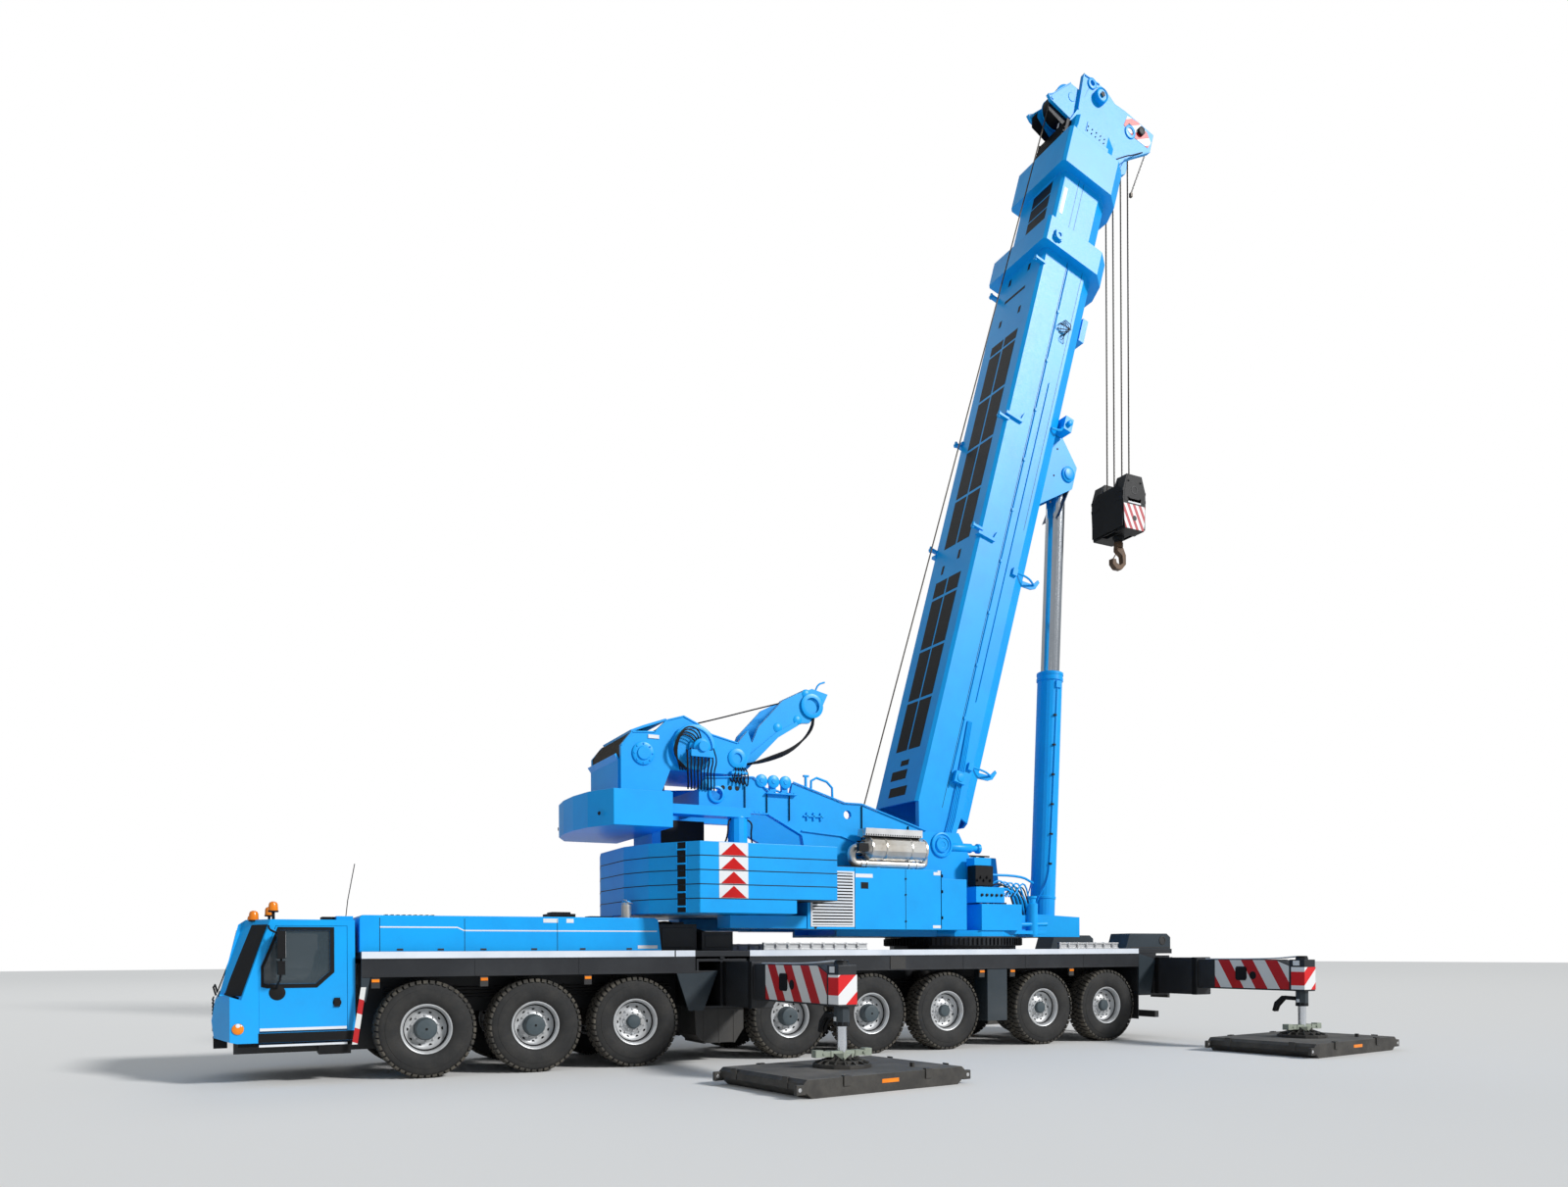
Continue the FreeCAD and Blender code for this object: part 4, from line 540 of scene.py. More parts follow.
roof.pipe(((-1110, -1150, 2430), (-1080, -1150, 2700), (-980, -1150, 3250)), 7, bends=0)
roof.tone = 2
for _ in roof.both():
    roof.box(-1949, -1945, 1475, 1665, 1845, 2215)
roof.piece("cab_roof_and_mirrors", (black, amber, bare), "root", "azure_paint", 6)
inside = Work()
for y in (-620, 620):
    inside.box(-1900, -1420, y - 230, y + 230, 830, 1240)
    inside.plate(((-1900, 1240), (-1420, 1240), (-1280, 1950), (-1400, 1960), (-1520, 1340), (-1900, 1340)),
                 y - 220, y + 220)
    inside.box(-1350, -1260, y - 140, y + 140, 1960, 2120)
inside.plate(((-2640, 830), (-2240, 830), (-2300, 1230), (-2400, 1300), (-2700, 1300)), -1150, 1150)
inside.turned((-2260, -620, 1330), (-0.7, 0, 0.7), ((0, 225), (20, 225), (30, 190), (4, 190)), 32)
inside.pipe(((-2440, -620, 1120), (-2270, -620, 1330)), 30, bends=0)
inside.piece("cab_inside", black, "root", "azure_paint", 10)

# Axles and knuckles. Forged beams and cast steering knuckles with drum brakes, painted grey and
# caked with dust, sprung by upright cylinders and steered through rods beside the frame.
forged = coat("forged_axle", (0.035, 0.037, 0.04), (0.05, 0.047, 0.042), 0.6, dust=0.45)
chrome = coat("chrome_rod", (0.72, 0.74, 0.77), (0.62, 0.64, 0.68), 0.12, 1.0, bump=0.005)
dress("axle_beams", forged, 8)
axle_x = (0, 1665, 3330, 6220, 7920, 9620, 11980, 13680)
steered = (1, 2, 3, 4, 7, 8)
gear = Work()
for axle, x in enumerate(axle_x, start=1):
    for _ in gear.both():
        gear.tone = 0
        gear.turned((x, 600, 880), (0, 0, 1), ((0, 84), (250, 84), (262, 74)), 24)
        gear.tone = 1
        gear.turned((x, 600, 1140), (0, 0, 1), ((0, 52), (330, 52)), 24)
        gear.tone = 0
        gear.turned((x + 150, 420, 980), (1, 0, 0), ((0, 70), (20, 95), (150, 95), (170, 60)), 20)
    gear.pipe(((x - 230, -560, 700), (x - 230, 560, 700)), 26, 12, 0)
gear.piece("suspension", (forged, chrome), "root", "axle_steel", 4)
for axle in steered:
    for side in ("left", "right"):
        dress("knuckle_%d_%s" % (axle, side), forged, 6)

# The wheels. Sixteen wide off-road tyres on dished steel rims in light silver. Driven axles show
# a grey gear hub, the others a ring of nuts around a small cap.
rubber = coat("tyre_rubber", (0.016, 0.016, 0.016), (0.032, 0.03, 0.027), 0.7, cloud=3.0, bump=0.12)
# Paler rubber for the tread blocks: partly real dust, partly a painted highlight on the tyre shoulders.
dusty_lit_tread = coat("tread_dust_and_highlight", (0.045, 0.042, 0.037), (0.12, 0.105, 0.082), 0.85, cloud=6.0, bump=0.15)
silver = coat("rim_silver", (0.55, 0.56, 0.57), (0.4, 0.4, 0.39), 0.35, 0.25, cloud=5)
hub_grey = coat("hub_grey", (0.05, 0.07, 0.08), (0.08, 0.1, 0.11), 0.4, cloud=4)
half_section = ((62, 366), (48, 386), (30, 404), (12, 440), (3, 500), (0, 560), (5, 600), (10, 606),
                (14, 640), (20, 668), (26, 690), (40, 708), (80, 716), (140, 719), (222, 720))
tyre_width, tyre_inside, hub_height = 445, 1055, 745
lugs = 46
for style, axles in (("driven", (1, 2, 4, 5)), ("plain", (3, 6, 7, 8))):
    work = Work(lambda x, y, z: Vector((x, y, z)) / 1000)
    section = list(half_section) + [(tyre_width - y, r) for y, r in reversed(half_section[:-1])]
    work.hoop((0, 0, 0), (0, 1, 0), section, 96)
    # The tread blocks take the paler rubber: dust, and a painted highlight that makes the shoulders lighter
    # than the sidewall.
    work.tone = 4
    for k in range(lugs):
        start = 2 * math.pi * k / lugs
        for flip in (False, True):
            # y, height and lead of the edges of one shoulder block and one middle block
            for rows in (((5, 724, 0.0), (24, 740, 0.004), (60, 744.5, 0.012), (128, 744.5, 0.03)),
                         ((138, 744.5, 0.055), (176, 744.8, 0.066), (214, 744.8, 0.05))):
                corners, faces = [], []
                for y, r, lead in rows:
                    for wide in (0.0, 0.092):
                        a = start + lead + wide + (math.pi / lugs if flip else 0.0)
                        at = tyre_width - y if flip else y
                        corners += [(radius * math.cos(a), at, radius * math.sin(a))
                                    for radius in (r, r - 30)]
                last = 4 * (len(rows) - 1)
                for b in range(0, last, 4):
                    faces += [(b, b + 2, b + 6, b + 4), (b, b + 4, b + 5, b + 1),
                              (b + 2, b + 3, b + 7, b + 6)]
                faces += [(0, 1, 3, 2), (last, last + 2, last + 3, last + 1)]
                work.faces(corners, faces)
    work.tone = 1
    flange = ((402, 384), (409, 376), (405, 364), (392, 356), (378, 340), (240, 334), (70, 334), (50, 356),
              (44, 376), (50, 384), (66, 366), (84, 346), (240, 342), (370, 346), (388, 366))
    dish = ((300, 336), (262, 306), (240, 260), (236, 222), (256, 186), (262, 120), (250, 120), (246, 180),
            (224, 222), (228, 262), (250, 312), (290, 336))
    for loop in (flange, dish):
        work.hoop((0, 0, 0), (0, 1, 0), loop, 64)
    # Painted shade: a black ring in the gap between flange and dish, and black plugs in the dish's holes,
    # stand for the shadow inside them.
    work.tone = 3
    work.hoop((0, 0, 0), (0, 1, 0), ((300, 314), (306, 314), (306, 336), (300, 336)), 64)
    for k in range(10):
        a = 2 * math.pi * (k + 0.5) / 10
        work.turned((262 * math.cos(a), 222, 262 * math.sin(a)), (0.25 * math.cos(a), 1, 0.25 * math.sin(a)),
                    ((0, 25), (24, 25)), 16)
    work.tone = 1
    for k in range(10):
        a = 2 * math.pi * k / 10
        work.turned((205 * math.cos(a), 236, 205 * math.sin(a)), (0, 1, 0), ((0, 20), (26, 20), (34, 14)), 6)
    work.tone = 2
    if style == "driven":
        work.turned((0, 240, 0), (0, 1, 0), ((0, 178), (60, 176), (66, 166), (150, 160), (172, 150),
                                             (178, 120), (180, 30)), 40)
        work.bolts([(168 * math.cos(k * 0.5236), 300, 168 * math.sin(k * 0.5236)) for k in range(12)],
                   (0, 1, 0), 8, 10)
        work.tone = 3
        work.turned((0, 419, 0), (0, 1, 0), ((0, 22), (6, 20)), 6)
    else:
        work.tone = 1
        work.turned((0, 240, 0), (0, 1, 0), ((0, 178), (26, 174), (34, 150), (48, 130)), 40)
        work.tone = 2
        work.turned((0, 270, 0), (0, 1, 0), ((0, 122), (60, 116), (76, 100), (80, 60)), 36)
        work.tone = 1
        work.bolts([(150 * math.cos(k * 0.6283), 268, 150 * math.sin(k * 0.6283)) for k in range(10)],
                   (0, 1, 0), 15, 34)
    wheel_mesh = work.done("wheel_" + style, (rubber, silver, hub_grey, black, dusty_lit_tread), 32)
    for axle in axles:
        for side, sign in sides:
            wheel = bpy.data.objects.new("tyre_and_rim_%d_%s" % (axle, side), wheel_mesh)
            wheel.location = from_axle(axle_x[axle - 1], sign * tyre_inside, hub_height)
            wheel.rotation_euler = (0, math.pi / 2 * axle, math.pi if sign < 0 else 0)
            bpy.context.scene.collection.objects.link(wheel)
            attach(wheel, "wheel_%d_%s" % (axle, side))
            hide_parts("wheel_%d_%s" % (axle, side))

# The outriggers. Box beams that slide out in two stages, the second one striped red and white,
# each with a jack at its tip: chrome ram, pale bar for laying it down, and a ribbed steel foot.
def stripes(name, direction, pitch, first=(0.5, 0.012, 0.015), second=(0.72, 0.72, 0.7)):
    """Reflective foil in slanting stripes of two colours."""
    foil = coat(name, second, second, 0.35, bump=0.01)
    tree = foil.node_tree
    shader = tree.nodes["Principled BSDF"]
    clouds = shader.inputs["Base Color"].links[0].from_socket
    where = tree.nodes["Texture Coordinate"]
    along = tree.nodes.new("ShaderNodeVectorMath")
    along.operation = "DOT_PRODUCT"
    along.inputs[1].default_value = Vector(direction).normalized() / pitch
    tree.links.new(where.outputs["Object"], along.inputs[0])
    wave = tree.nodes.new("ShaderNodeMath")
    wave.operation = "FRACT"
    tree.links.new(along.outputs["Value"], wave.inputs[0])
    band = tree.nodes.new("ShaderNodeMath")
    band.operation = "LESS_THAN"
    band.inputs[1].default_value = 0.5
    tree.links.new(wave.outputs[0], band.inputs[0])
    pick = tree.nodes.new("ShaderNodeMix")
    pick.data_type = "RGBA"
    pick.inputs["B"].default_value = (*first, 1)
    tree.links.new(band.outputs[0], pick.inputs["Factor"])
    tree.links.new(clouds, pick.inputs["A"])
    tree.links.new(pick.outputs["Result"], shader.inputs["Base Color"])
    return foil


jack_bar = coat("jack_bar_paint", (0.34, 0.38, 0.31), (0.24, 0.26, 0.2), 0.5, cloud=5)
mat_black = coat("mat_paint", (0.018, 0.018, 0.019), (0.045, 0.044, 0.042), 0.55, cloud=2.5, grain=18,
                 bump=0.25, dust=0.12)
beam_left = stripes("beam_stripes_left", (0, 1, -0.62), 0.47)
beam_right = stripes("beam_stripes_right", (0, 1, 0.62), 0.47)
tip_foil = stripes("tip_stripes", (1, 0, -1), 0.36, first=(0.75, 0.012, 0.015), second=(0.85, 0.85, 0.85))
outriggers = [(end, side, sign, box_x - 225 * sign, spread) for end, box_x,
              spread in (("front", 4900, 5180), ("rear", 15030, 4900)) for side, sign in sides]


def on_beam(out, across, z):
    """A point out along the beam that the loop is at, across it and above the ground."""
    return from_axle(x + across, sign * out, z)


for end, side, sign, x, spread in outriggers:
    beam = "outrigger_beam_%s_%s" % (end, side)
    body = "outrigger_%s_%s" % (end, side)
    jack = "jack_%s_%s" % (end, side)
    tip = spread + 170
    dress(beam, anthracite, 8)
    paint(beam, slate, lambda x, y, z: z < 1110 and abs(y) > spread - 150)
    foil = Work(on_beam)
    outline = ((3020, 1138), (tip - 330, 1138), (tip - 330, 1580), (tip - 620, 1688), (3020, 1688))
    foil.plate(outline, -154, -150)
    foil.plate(outline, 150, 154)
    foil.piece("beam_foil_%s_%s" % (end, side), beam_left if sign < 0 else beam_right, body,
               "anthracite_paint", 0)
    end_foil = Work(on_beam)
    end_foil.boxes((spread - 110, tip + 5, -156, -152, 1140, 1560), (tip, tip + 5, -150, 150, 1140, 1560),
                   (spread - 110, tip + 5, 152, 156, 1140, 1560))
    end_foil.piece("tip_foil_%s_%s" % (end, side), tip_foil, body, "anthracite_paint", 1)
    trim = Work(on_beam)
    for face_at in (-1, 1):
        trim.plate(((3560, 1290), (3760, 1290), (3790, 1330), (3790, 1530), (3760, 1560), (3560, 1560),
                    (3530, 1530), (3530, 1330)), face_at * 154, face_at * 172)
        trim.turned((3930, face_at * 150, 1390), (0, face_at, 0), ((0, 78), (8, 78), (10, 60)), 28)
    for out in (1480, 2480):
        trim.boxes((out, out + 90, -212, 212, 968, 980), (out, out + 90, -212, 212, 1730, 1742),
                   (out, out + 90, -214, -200, 968, 1742), (out, out + 90, 200, 214, 968, 1742))
    horn = [(spread - back, z) for back, z in ((105, 1000), (105, 930), (380, 940), (520, 800), (560, 700),
                                               (610, 720), (560, 880), (400, 1010))]
    trim.plate(horn, -60, -10)
    trim.plate(horn, 10, 60)
    trim.turned((spread, 0, 1735), (0, 0, 1), ((-2, 104), (26, 100), (34, 86)), 28)
    trim.turned((spread, 0, 836), (0, 0, 1), ((-8, 112), (50, 112), (54, 106)), 28)
    trim.tone = 1
    trim.boxes((spread - 70, spread + 70, -162, -150, 1590, 1680),
               (spread - 30, spread + 30, -118, -105, 900, 960))
    for across in (-60, 60):
        trim.pipe(((2700, across, 1705), (4300, across, 1712), (spread - 90, across, 1760),
                   (spread, across, 1752)), 14)
    trim.piece("beam_trim_%s_%s" % (end, side), (black, white), body, "anthracite_paint", 4)
    dress(jack, mat_black, 5)
    paint(jack, jack_bar, lambda x, y, z: z > 398)
    paint(jack, chrome, lambda x, y, z: z > 485)
    foot = Work(lambda a, b, z: from_axle(x + a, sign * spread + b, z))
    foot.tone = 2
    foot.turned((0, 0, 482), (0, 0, 1), ((0, 72.5), (360, 72.5)), 40)
    foot.tone = 0
    for k in range(16):
        a = 2 * math.pi * k / 16
        c, s = math.cos(a), math.sin(a)
        rib = ((150, 392), (170, 396), (395, 320), (400, 296), (150, 296))
        foot.prism([(r * c - w * s, r * s + w * c, z) for w in (-9, 9) for r, z in rib])
    foot.turned((0, 0, 296), (0, 0, 1), ((-1, 417), (8, 417), (10, 400)), 48)
    foot.tone = 1
    for k in (-1, 1):
        foot.boxes((k * 400 - 60, k * 400 + 60, -66, 66, 396, 500),
                   (k * 200 - 14, k * 200 + 14, -70, 70, 396, 486))
        foot.turned((k * 330, -66, 445), (0, -1, 0), ((0, 22), (12, 18)), 12)
    foot.piece("jack_foot_" + end + "_" + side, (mat_black, jack_bar, chrome), jack, "anthracite_paint", 3)
mat_top = coat("mat_top_dust", (0.09, 0.088, 0.084), (0.17, 0.16, 0.145), 0.75, cloud=1.5, grain=25,
               bump=0.2)
dress("support_mats", mat_black, 10)
paint("support_mats", mat_top, lambda x, y, z: z > 249)
c, s = math.cos(math.radians(8)), math.sin(math.radians(8))


def on_mat(a, b, z):
    """A point on the mat that the loop is at. It lies turned by eight degrees."""
    return from_axle(x + a * c - b * s, sign * spread + a * s + b * c, z)


for end, side, sign, x, spread in outriggers:
    fittings = Work(on_mat)
    for ends in (-1, 1):
        for row in (-1, 1):
            b = row * 995
            fittings.tone = 0
            fittings.turned((ends * 1480, b - 29, 125), (0, 1, 0), ((0, 52), (58, 52)), 28)
            fittings.tone = 1
            fittings.turned((ends * 1480, b - 31, 125), (0, 1, 0), ((0, 27), (62, 27)), 20)
            fittings.tone = 0
            b = row * 1025
            fittings.boxes((ends * 720 - 60, ends * 720 + 60, b, b + row * 20, 130, 262),
                           (ends * 720 - 46, ends * 720 + 46, b, b - row * 60, 250, 266))
    for across in (-620, 620):
        fittings.boxes((-1437, -1425, across - 60, across + 60, 110, 262),
                       (-1437, -1385, across - 50, across + 50, 250, 264),
                       (1425, 1437, across - 60, across + 60, 110, 262),
                       (760, 800, across - 30, across + 30, 250, 310))
    fittings.tone = 2
    fittings.box(-120, 180, -1029, -1025, 120, 175)
    fittings.piece("mat_fittings_%s_%s" % (end, side), (mat_black, bare, amber), "root", "mat_steel", 4)

# The turntable. Two tall side plates of blue welded steel on a toothed slewing ring, with flanged
# edges, the boom pin between them, the hoist drum with its rope, valves and hoses at the front.
def flange(work, path, y0, y1, thick=22):
    """A strip welded along an edge of a side plate."""
    for (x0, z0), (x1, z1) in zip(path, path[1:]):
        long = math.hypot(x1 - x0, z1 - z0)
        a, b = (z1 - z0) / long * thick, (x0 - x1) / long * thick
        work.plate(((x0, z0), (x1, z1), (x1 + a, z1 + b), (x0 + a, z0 + b)), y0, y1)


wire = coat("wire_rope", (0.1, 0.085, 0.07), (0.05, 0.045, 0.04), 0.45, 0.6, cloud=9, grain=160, bump=0.2)
dress("turntable_frame", azure, 8)
drum_x, drum_z, slew_x = 8450, 2740, 10800
paint("turntable_frame", wire, lambda x, y, z: math.hypot(x - drum_x, z - drum_z) < 430 and abs(y) < 452)
paint("turntable_frame", black, lambda x, y, z: z < 2185 and math.hypot(x - slew_x, y) < 1400)
turn = Work()
for _ in turn.both():
    y0, y1 = 900, 935
    turn.tone = 0
    turn.hoop((9900, 900, 4000), (0, 1, 0), ((0, 130), (0, 250), (34, 250), (44, 236), (44, 205), (22, 195),
                                             (22, 160), (62, 148), (62, 130)), 44)
    turn.turned((9900, 936, 4000), (0, 1, 0), ((0, 128), (14, 124), (14, 60), (6, 56)), 32)
    turn.hoop((5050, 900, 4700), (0, 1, 0), ((0, 112), (0, 158), (30, 158), (36, 150), (36, 112)), 32)
    for path in (((9520, 4250), (8046, 4688), (7679, 4688), (6581, 5007)), ((6067, 4390), (4720, 4390)),
                 ((6900, 3300), (6755, 4044), (6067, 4390)),
                 ((6534, 4783), (6133, 4769), (5770, 5045), (4827, 4976)),
                 ((9250, 3330), (8700, 3700), (7600, 4060), (6755, 4120))):
        flange(turn, path, y0, y1)
    for x in (5942, 6185, 6428):
        turn.turned((x, 890, 5000), (0, 1, 0), ((0, 118), (34, 118), (42, 104)), 28)
        turn.turned((x, 932, 5000), (0, 1, 0), ((0, 48), (12, 44)), 6)
    turn.box(6020, 6640, 900, 985, 4765, 4787)
    turn.bolts([(6060 + 130 * k, 955, 4787) for k in range(5)], (0, 0, 1), 20, 22)
    turn.bolts([(4780 + 90 * k, 935, 4425) for k in range(4)]
               + [(5700 + 90 * k, 935, 4425) for k in range(4)], (0, 1, 0), 15, 14)
    turn.box(6800, 7230, y0, y1, 4395, 4422)
    for x in (6860, 7000, 7150):
        turn.box(x, x + 30, y0, y1, 4330, 4480)
    turn.boxes((6860, 6900, 835, 875, 4880, 5160), (6830, 6940, 829, 881, 5140, 5175))
    turn.pipe(((6985, 855, 4800), (7000, 855, 5170), (7440, 855, 5050), (7450, 855, 4740)), 24, 8, 1)
    turn.turned((10080, 850, 3960), (1, 0, 0), ((0, 70), (40, 96), (560, 96), (600, 66), (690, 66),
                                                (720, 100), (780, 100), (800, 50)), 24)
    turn.tone = 1
    for x in (5180, 5320, 5460):
        turn.turned((x, 898, 4830), (0, 1, 0), ((0, 42), (6, 42)), 20)
    for x, z0, z1 in ((5600, 4420, 4880), (6040, 4420, 4760), (6500, 4300, 4760), (8050, 3900, 4660),
                      (9100, 3400, 4330)):
        turn.box(x, x + 9, y0, y1, z0, z1)
for k in range(96):
    a = 2 * math.pi * k / 96
    c, s = math.cos(a), math.sin(a)
    tooth = ((1370, -18), (1432, -10), (1432, 10), (1370, 18))
    turn.flat([(slew_x + r * c - w * s, r * s + w * c) for r, w in tooth], 2010, 2150)
turn.tone = 2
for k in range(17):
    turn.hoop((drum_x, -400 + 50 * k, drum_z), (0, 1, 0), ((-23, 420), (0, 446), (23, 420)), 24)
turn.piece("turntable_trim", (azure, black, wire), "superstructure", "azure_paint", 3)
valves = Work()
valves.boxes((10450, 10860, -1240, -980, 3590, 3740), (10420, 11120, -1330, -960, 2850, 3160),
             (10500, 12250, -1250, -960, 2230, 2300), (10560, 11900, -1130, -1000, 2300, 2620))
valves.turned((11960, -1150, 2210), (0, 0, 1), ((0, 118), (640, 118), (660, 80), (740, 80), (760, 104),
                                                (800, 104)), 24)
valves.pipe(((10860, -1000, 3430), (11800, -1000, 3430), (12200, -900, 3300)), 26)
valves.pipe(((11350, -1200, 2420), (12300, -1200, 2440)), 46, 12, 0)
valves.tone = 1
valves.boxes((10470, 10900, -1250, -990, 3190, 3580), (10950, 11240, -1240, -1000, 2620, 2860))
for k in range(5):
    valves.turned((10520 + 78 * k, -1250, 3300 + 60 * (k % 2)), (0, -1, 0), ((0, 26), (34, 26)), 10)
    valves.turned((10560 + 120 * k, -1330, 3000), (0, -1, 0), ((0, 30), (20, 30), (26, 14)), 12)
valves.tone = 2
valves.turned((11540, -1200, 2480), (0, 0, 1), ((0, 60), (60, 80), (260, 80), (300, 50), (340, 50)), 20)
for k in range(4):
    valves.turned((10640 + 160 * k, -1190, 2850), (0, 0, -1), ((0, 34), (70, 34), (76, 20)), 12)
for k in range(14):
    valves.tone = 0 if k % 3 else 1
    rise = 120 * math.sin(2.1 * k)
    valves.pipe(((10650 + 60 * k, -1120 - 9 * k, 2900 + 8 * k),
                 (10900 + 70 * k, -1260 + 12 * k, 3260 + rise), (11300 + 45 * k, -1200, 3190 - 30 * k),
                 (11500 + 40 * k, -1180 + 14 * k, 2700 + rise * 0.4),
                 (11700 + 30 * k, -1060, 2360 + 12 * k)), 15 + k % 3 * 3)
valves.piece("turntable_valves", (azure, black, bare), "superstructure", "azure_paint", 3)

# The engine house. Blue sheet housings beside the side plates. The near one has a white louvre
# for the radiator, a stainless silencer and pipe on the roof and an aluminium heat shield.
dress("engine_house", azure, 12)
paint("engine_house", steel, lambda x, y, z: y < -900 and z > 3560)
house = Work()
for _ in house.both():
    y0, y1 = 1500, 1503
    out0, out1 = 1500, 1514
    house.tone = 0
    near, far = 925, 1480
    house.boxes((5050, 6566, near, far, 2310, 2535), (9466, 9490, out0, out1, 2330, 3420))
    house.tone = 1
    for box in ((6620, 7530, 2345, 2375), (6620, 7530, 3330, 3360), (6620, 6655, 2375, 3330),
                (7495, 7530, 2375, 3330)):
        house.box(box[0], box[1], out0, out1, box[2], box[3])
    for k in range(17):
        z = 2386 + 56 * k
        house.plate(((6655, z), (7495, z), (7495, z + 30), (6655, z + 30)), out0, out1)
    for box in ((7560, 7930, 3255, 3325), (9290, 9450, 3340, 3400), (9270, 9450, 2330, 2385),
                (9380, 9450, 3400, 3432)):
        house.box(box[0], box[1], y0, y1, box[2], box[3])
    house.tone = 2
    house.box(6655, 7495, y0, y1, 2375, 3330)
    for x, z0, z1 in ((7545, 2310, 3430), (8655, 2310, 3430), (9462, 2310, 3430)):
        house.box(x - 5, x + 5, y0, y1, z0, z1)
    for z in (2500, 3000, 3300):
        house.boxes((9465, 9500, out0, out1, z, z + 60), (8640, 8670, out0, out1, z - 60, z - 30))
    house.boxes((7675, 7835, y0, y1, 3050, 3170), (6700, 7850, 960, 1430, 3438, 3462))
    house.turned((6720, 1500, 2330), (0, 1, 0), ((0, 26), (8, 26)), 12)
house.piece("engine_house_trim", (azure, white, black), "superstructure", "azure_paint", 2)
silencer = (-1180, 3830)
exhaust = Work()
exhaust.turned((8000, *silencer), (-1, 0, 0), ((0, 213), (24, 200), (110, 120), (150, 96), (240, 96),
                                               (250, 60)), 32)
exhaust.turned((9250, *silencer), (1, 0, 0), ((0, 212), (18, 206), (26, 180)), 32)
for x in (8020, 8330, 8900, 9230):
    exhaust.hoop((x, *silencer), (1, 0, 0), ((-16, 214), (-16, 226), (16, 226), (16, 214)), 40)
exhaust.pipe(((7800, *silencer), (7690, -1180, 3810), (7660, -1180, 3680), (7700, -1180, 3545),
              (7830, -1180, 3540)), 82, 24, 2)
exhaust.pipe(((7800, -1180, 3540), (9140, -1180, 3540)), 82, 24, 0)
exhaust.pipe(((9120, -1180, 3540), (9290, -1180, 3540), (9300, -1180, 3700), (9290, *silencer)), 70, 20, 2)
for x in (7850, 7960, 8900, 9080):
    exhaust.hoop((x, -1180, 3540), (1, 0, 0), ((-14, 80), (-14, 98), (14, 98), (14, 80)), 32)
exhaust.tone = 2
exhaust.plate(((7880, 4060), (9160, 4060), (9160, 4200), (7900, 4200)), -1330, -1040)
exhaust.tone = 1
exhaust.box(7920, 9130, -1300, -1070, 4046, 4061)
for k in range(24):
    exhaust.box(7900 + 52 * k, 7922 + 52 * k, -1334, -1329, 4066, 4092)
exhaust.box(7690, 7900, -1420, -1330, 3750, 3900)
for k in range(6):
    a = math.pi * k / 3
    exhaust.turned((7880, -1180 + 150 * math.cos(a), 3830 + 150 * math.sin(a)), (1, 0, 0),
                   ((-40, 16), (40, 16)), 8)
exhaust.piece("exhaust", (steel, black, bare), "superstructure", "azure_paint", 3)

# The counterweight. Five cast slabs stacked on the turntable, with red and white warning plates,
# rungs for climbing, and the upper ballast that hangs above them on two hydraulic cylinders.
dress("counterweight", azure, 14)
stack = Work()
slabs = [2545 + 235.4 * k for k in range(5)]
stack.tone = 1
for z in slabs[1:]:
    stack.flat(((6789, -2184), (4198, -2184), (3607, -1354), (3406, -655), (3406, 655), (3607, 1354),
                (4198, 2184), (6789, 2184), (6789, 1556), (6494, 1544), (6494, -1544), (6789, -1556)), z - 8,
               z + 7)
stack.box(4150, 4980, -505, 505, 3724, 4250)
for _ in stack.both():
    for z in slabs[1:]:
        stack.tone = 2
        stack.box(4540, 5070, 2179, 2184, z + 9, z + 226)
        stack.tone = 3
        stack.plate(((4572, z + 14), (5038, z + 14), (4805, z + 216)), 2183, 2188)
    stack.tone = 1
    for x, z in ((2680, 4330), (2760, 4480)):
        stack.turned((x + 110, 1260, z - 130), (-0.9176, 0.3976, 0), ((0, 34), (8, 34)), 14)
    stack.tone = 0
    stack.turned((5350, 1150, 4250), (0, 0, 1), ((0, 176), (24, 176), (60, 150)), 28)
    stack.box(3900, 4010, 1220, 1380, 4590, 4640)
    stack.tone = 4
    stack.turned((5350, 1150, 4300), (0, 0, 1), ((0, 70), (30, 92), (70, 92), (110, 60), (118, 20)), 20)
    stack.tone = 1
    stack.pipe(((5480, 1190, 4250), (5600, 1240, 4180), (5580, 1200, 3980), (5640, 1180, 3730)), 16)
    stack.pipe(((5220, 1190, 4250), (5120, 1260, 4180), (5130, 1230, 3960), (5060, 1180, 3730)), 16)
stack.piece("counterweight_trim", (azure, black, white, red, bare), "superstructure", "azure_paint", 2)
for side, sign in sides:
    rungs = Work(lambda a, b, z: from_axle(4200 - 0.58 * a - 0.814 * b, sign * (2180 - 0.814 * a + 0.58 * b),
                                           z))
    for z in slabs:
        # Painted shade: a black panel on the slab face behind each rung stands for the shaded recess that
        # holds the ladder.
        rungs.tone = 1
        rungs.box(250, 460, 0, 4, z + 8, z + 226)
        rungs.tone = 0
        rungs.boxes((250, 272, 3, 14, z + 8, z + 226), (438, 460, 3, 14, z + 8, z + 226))
        rungs.pipe(((272, 16, z + 104), (438, 16, z + 104)), 15, bends=0)
        for a in (30, 560, 980):
            rungs.turned((a, 0, z + 120), (0, 1, 0), ((0, 18), (5, 18)), 10)
    rungs.piece("counterweight_rungs_" + side, (azure, black), "superstructure", "azure_paint", 2)

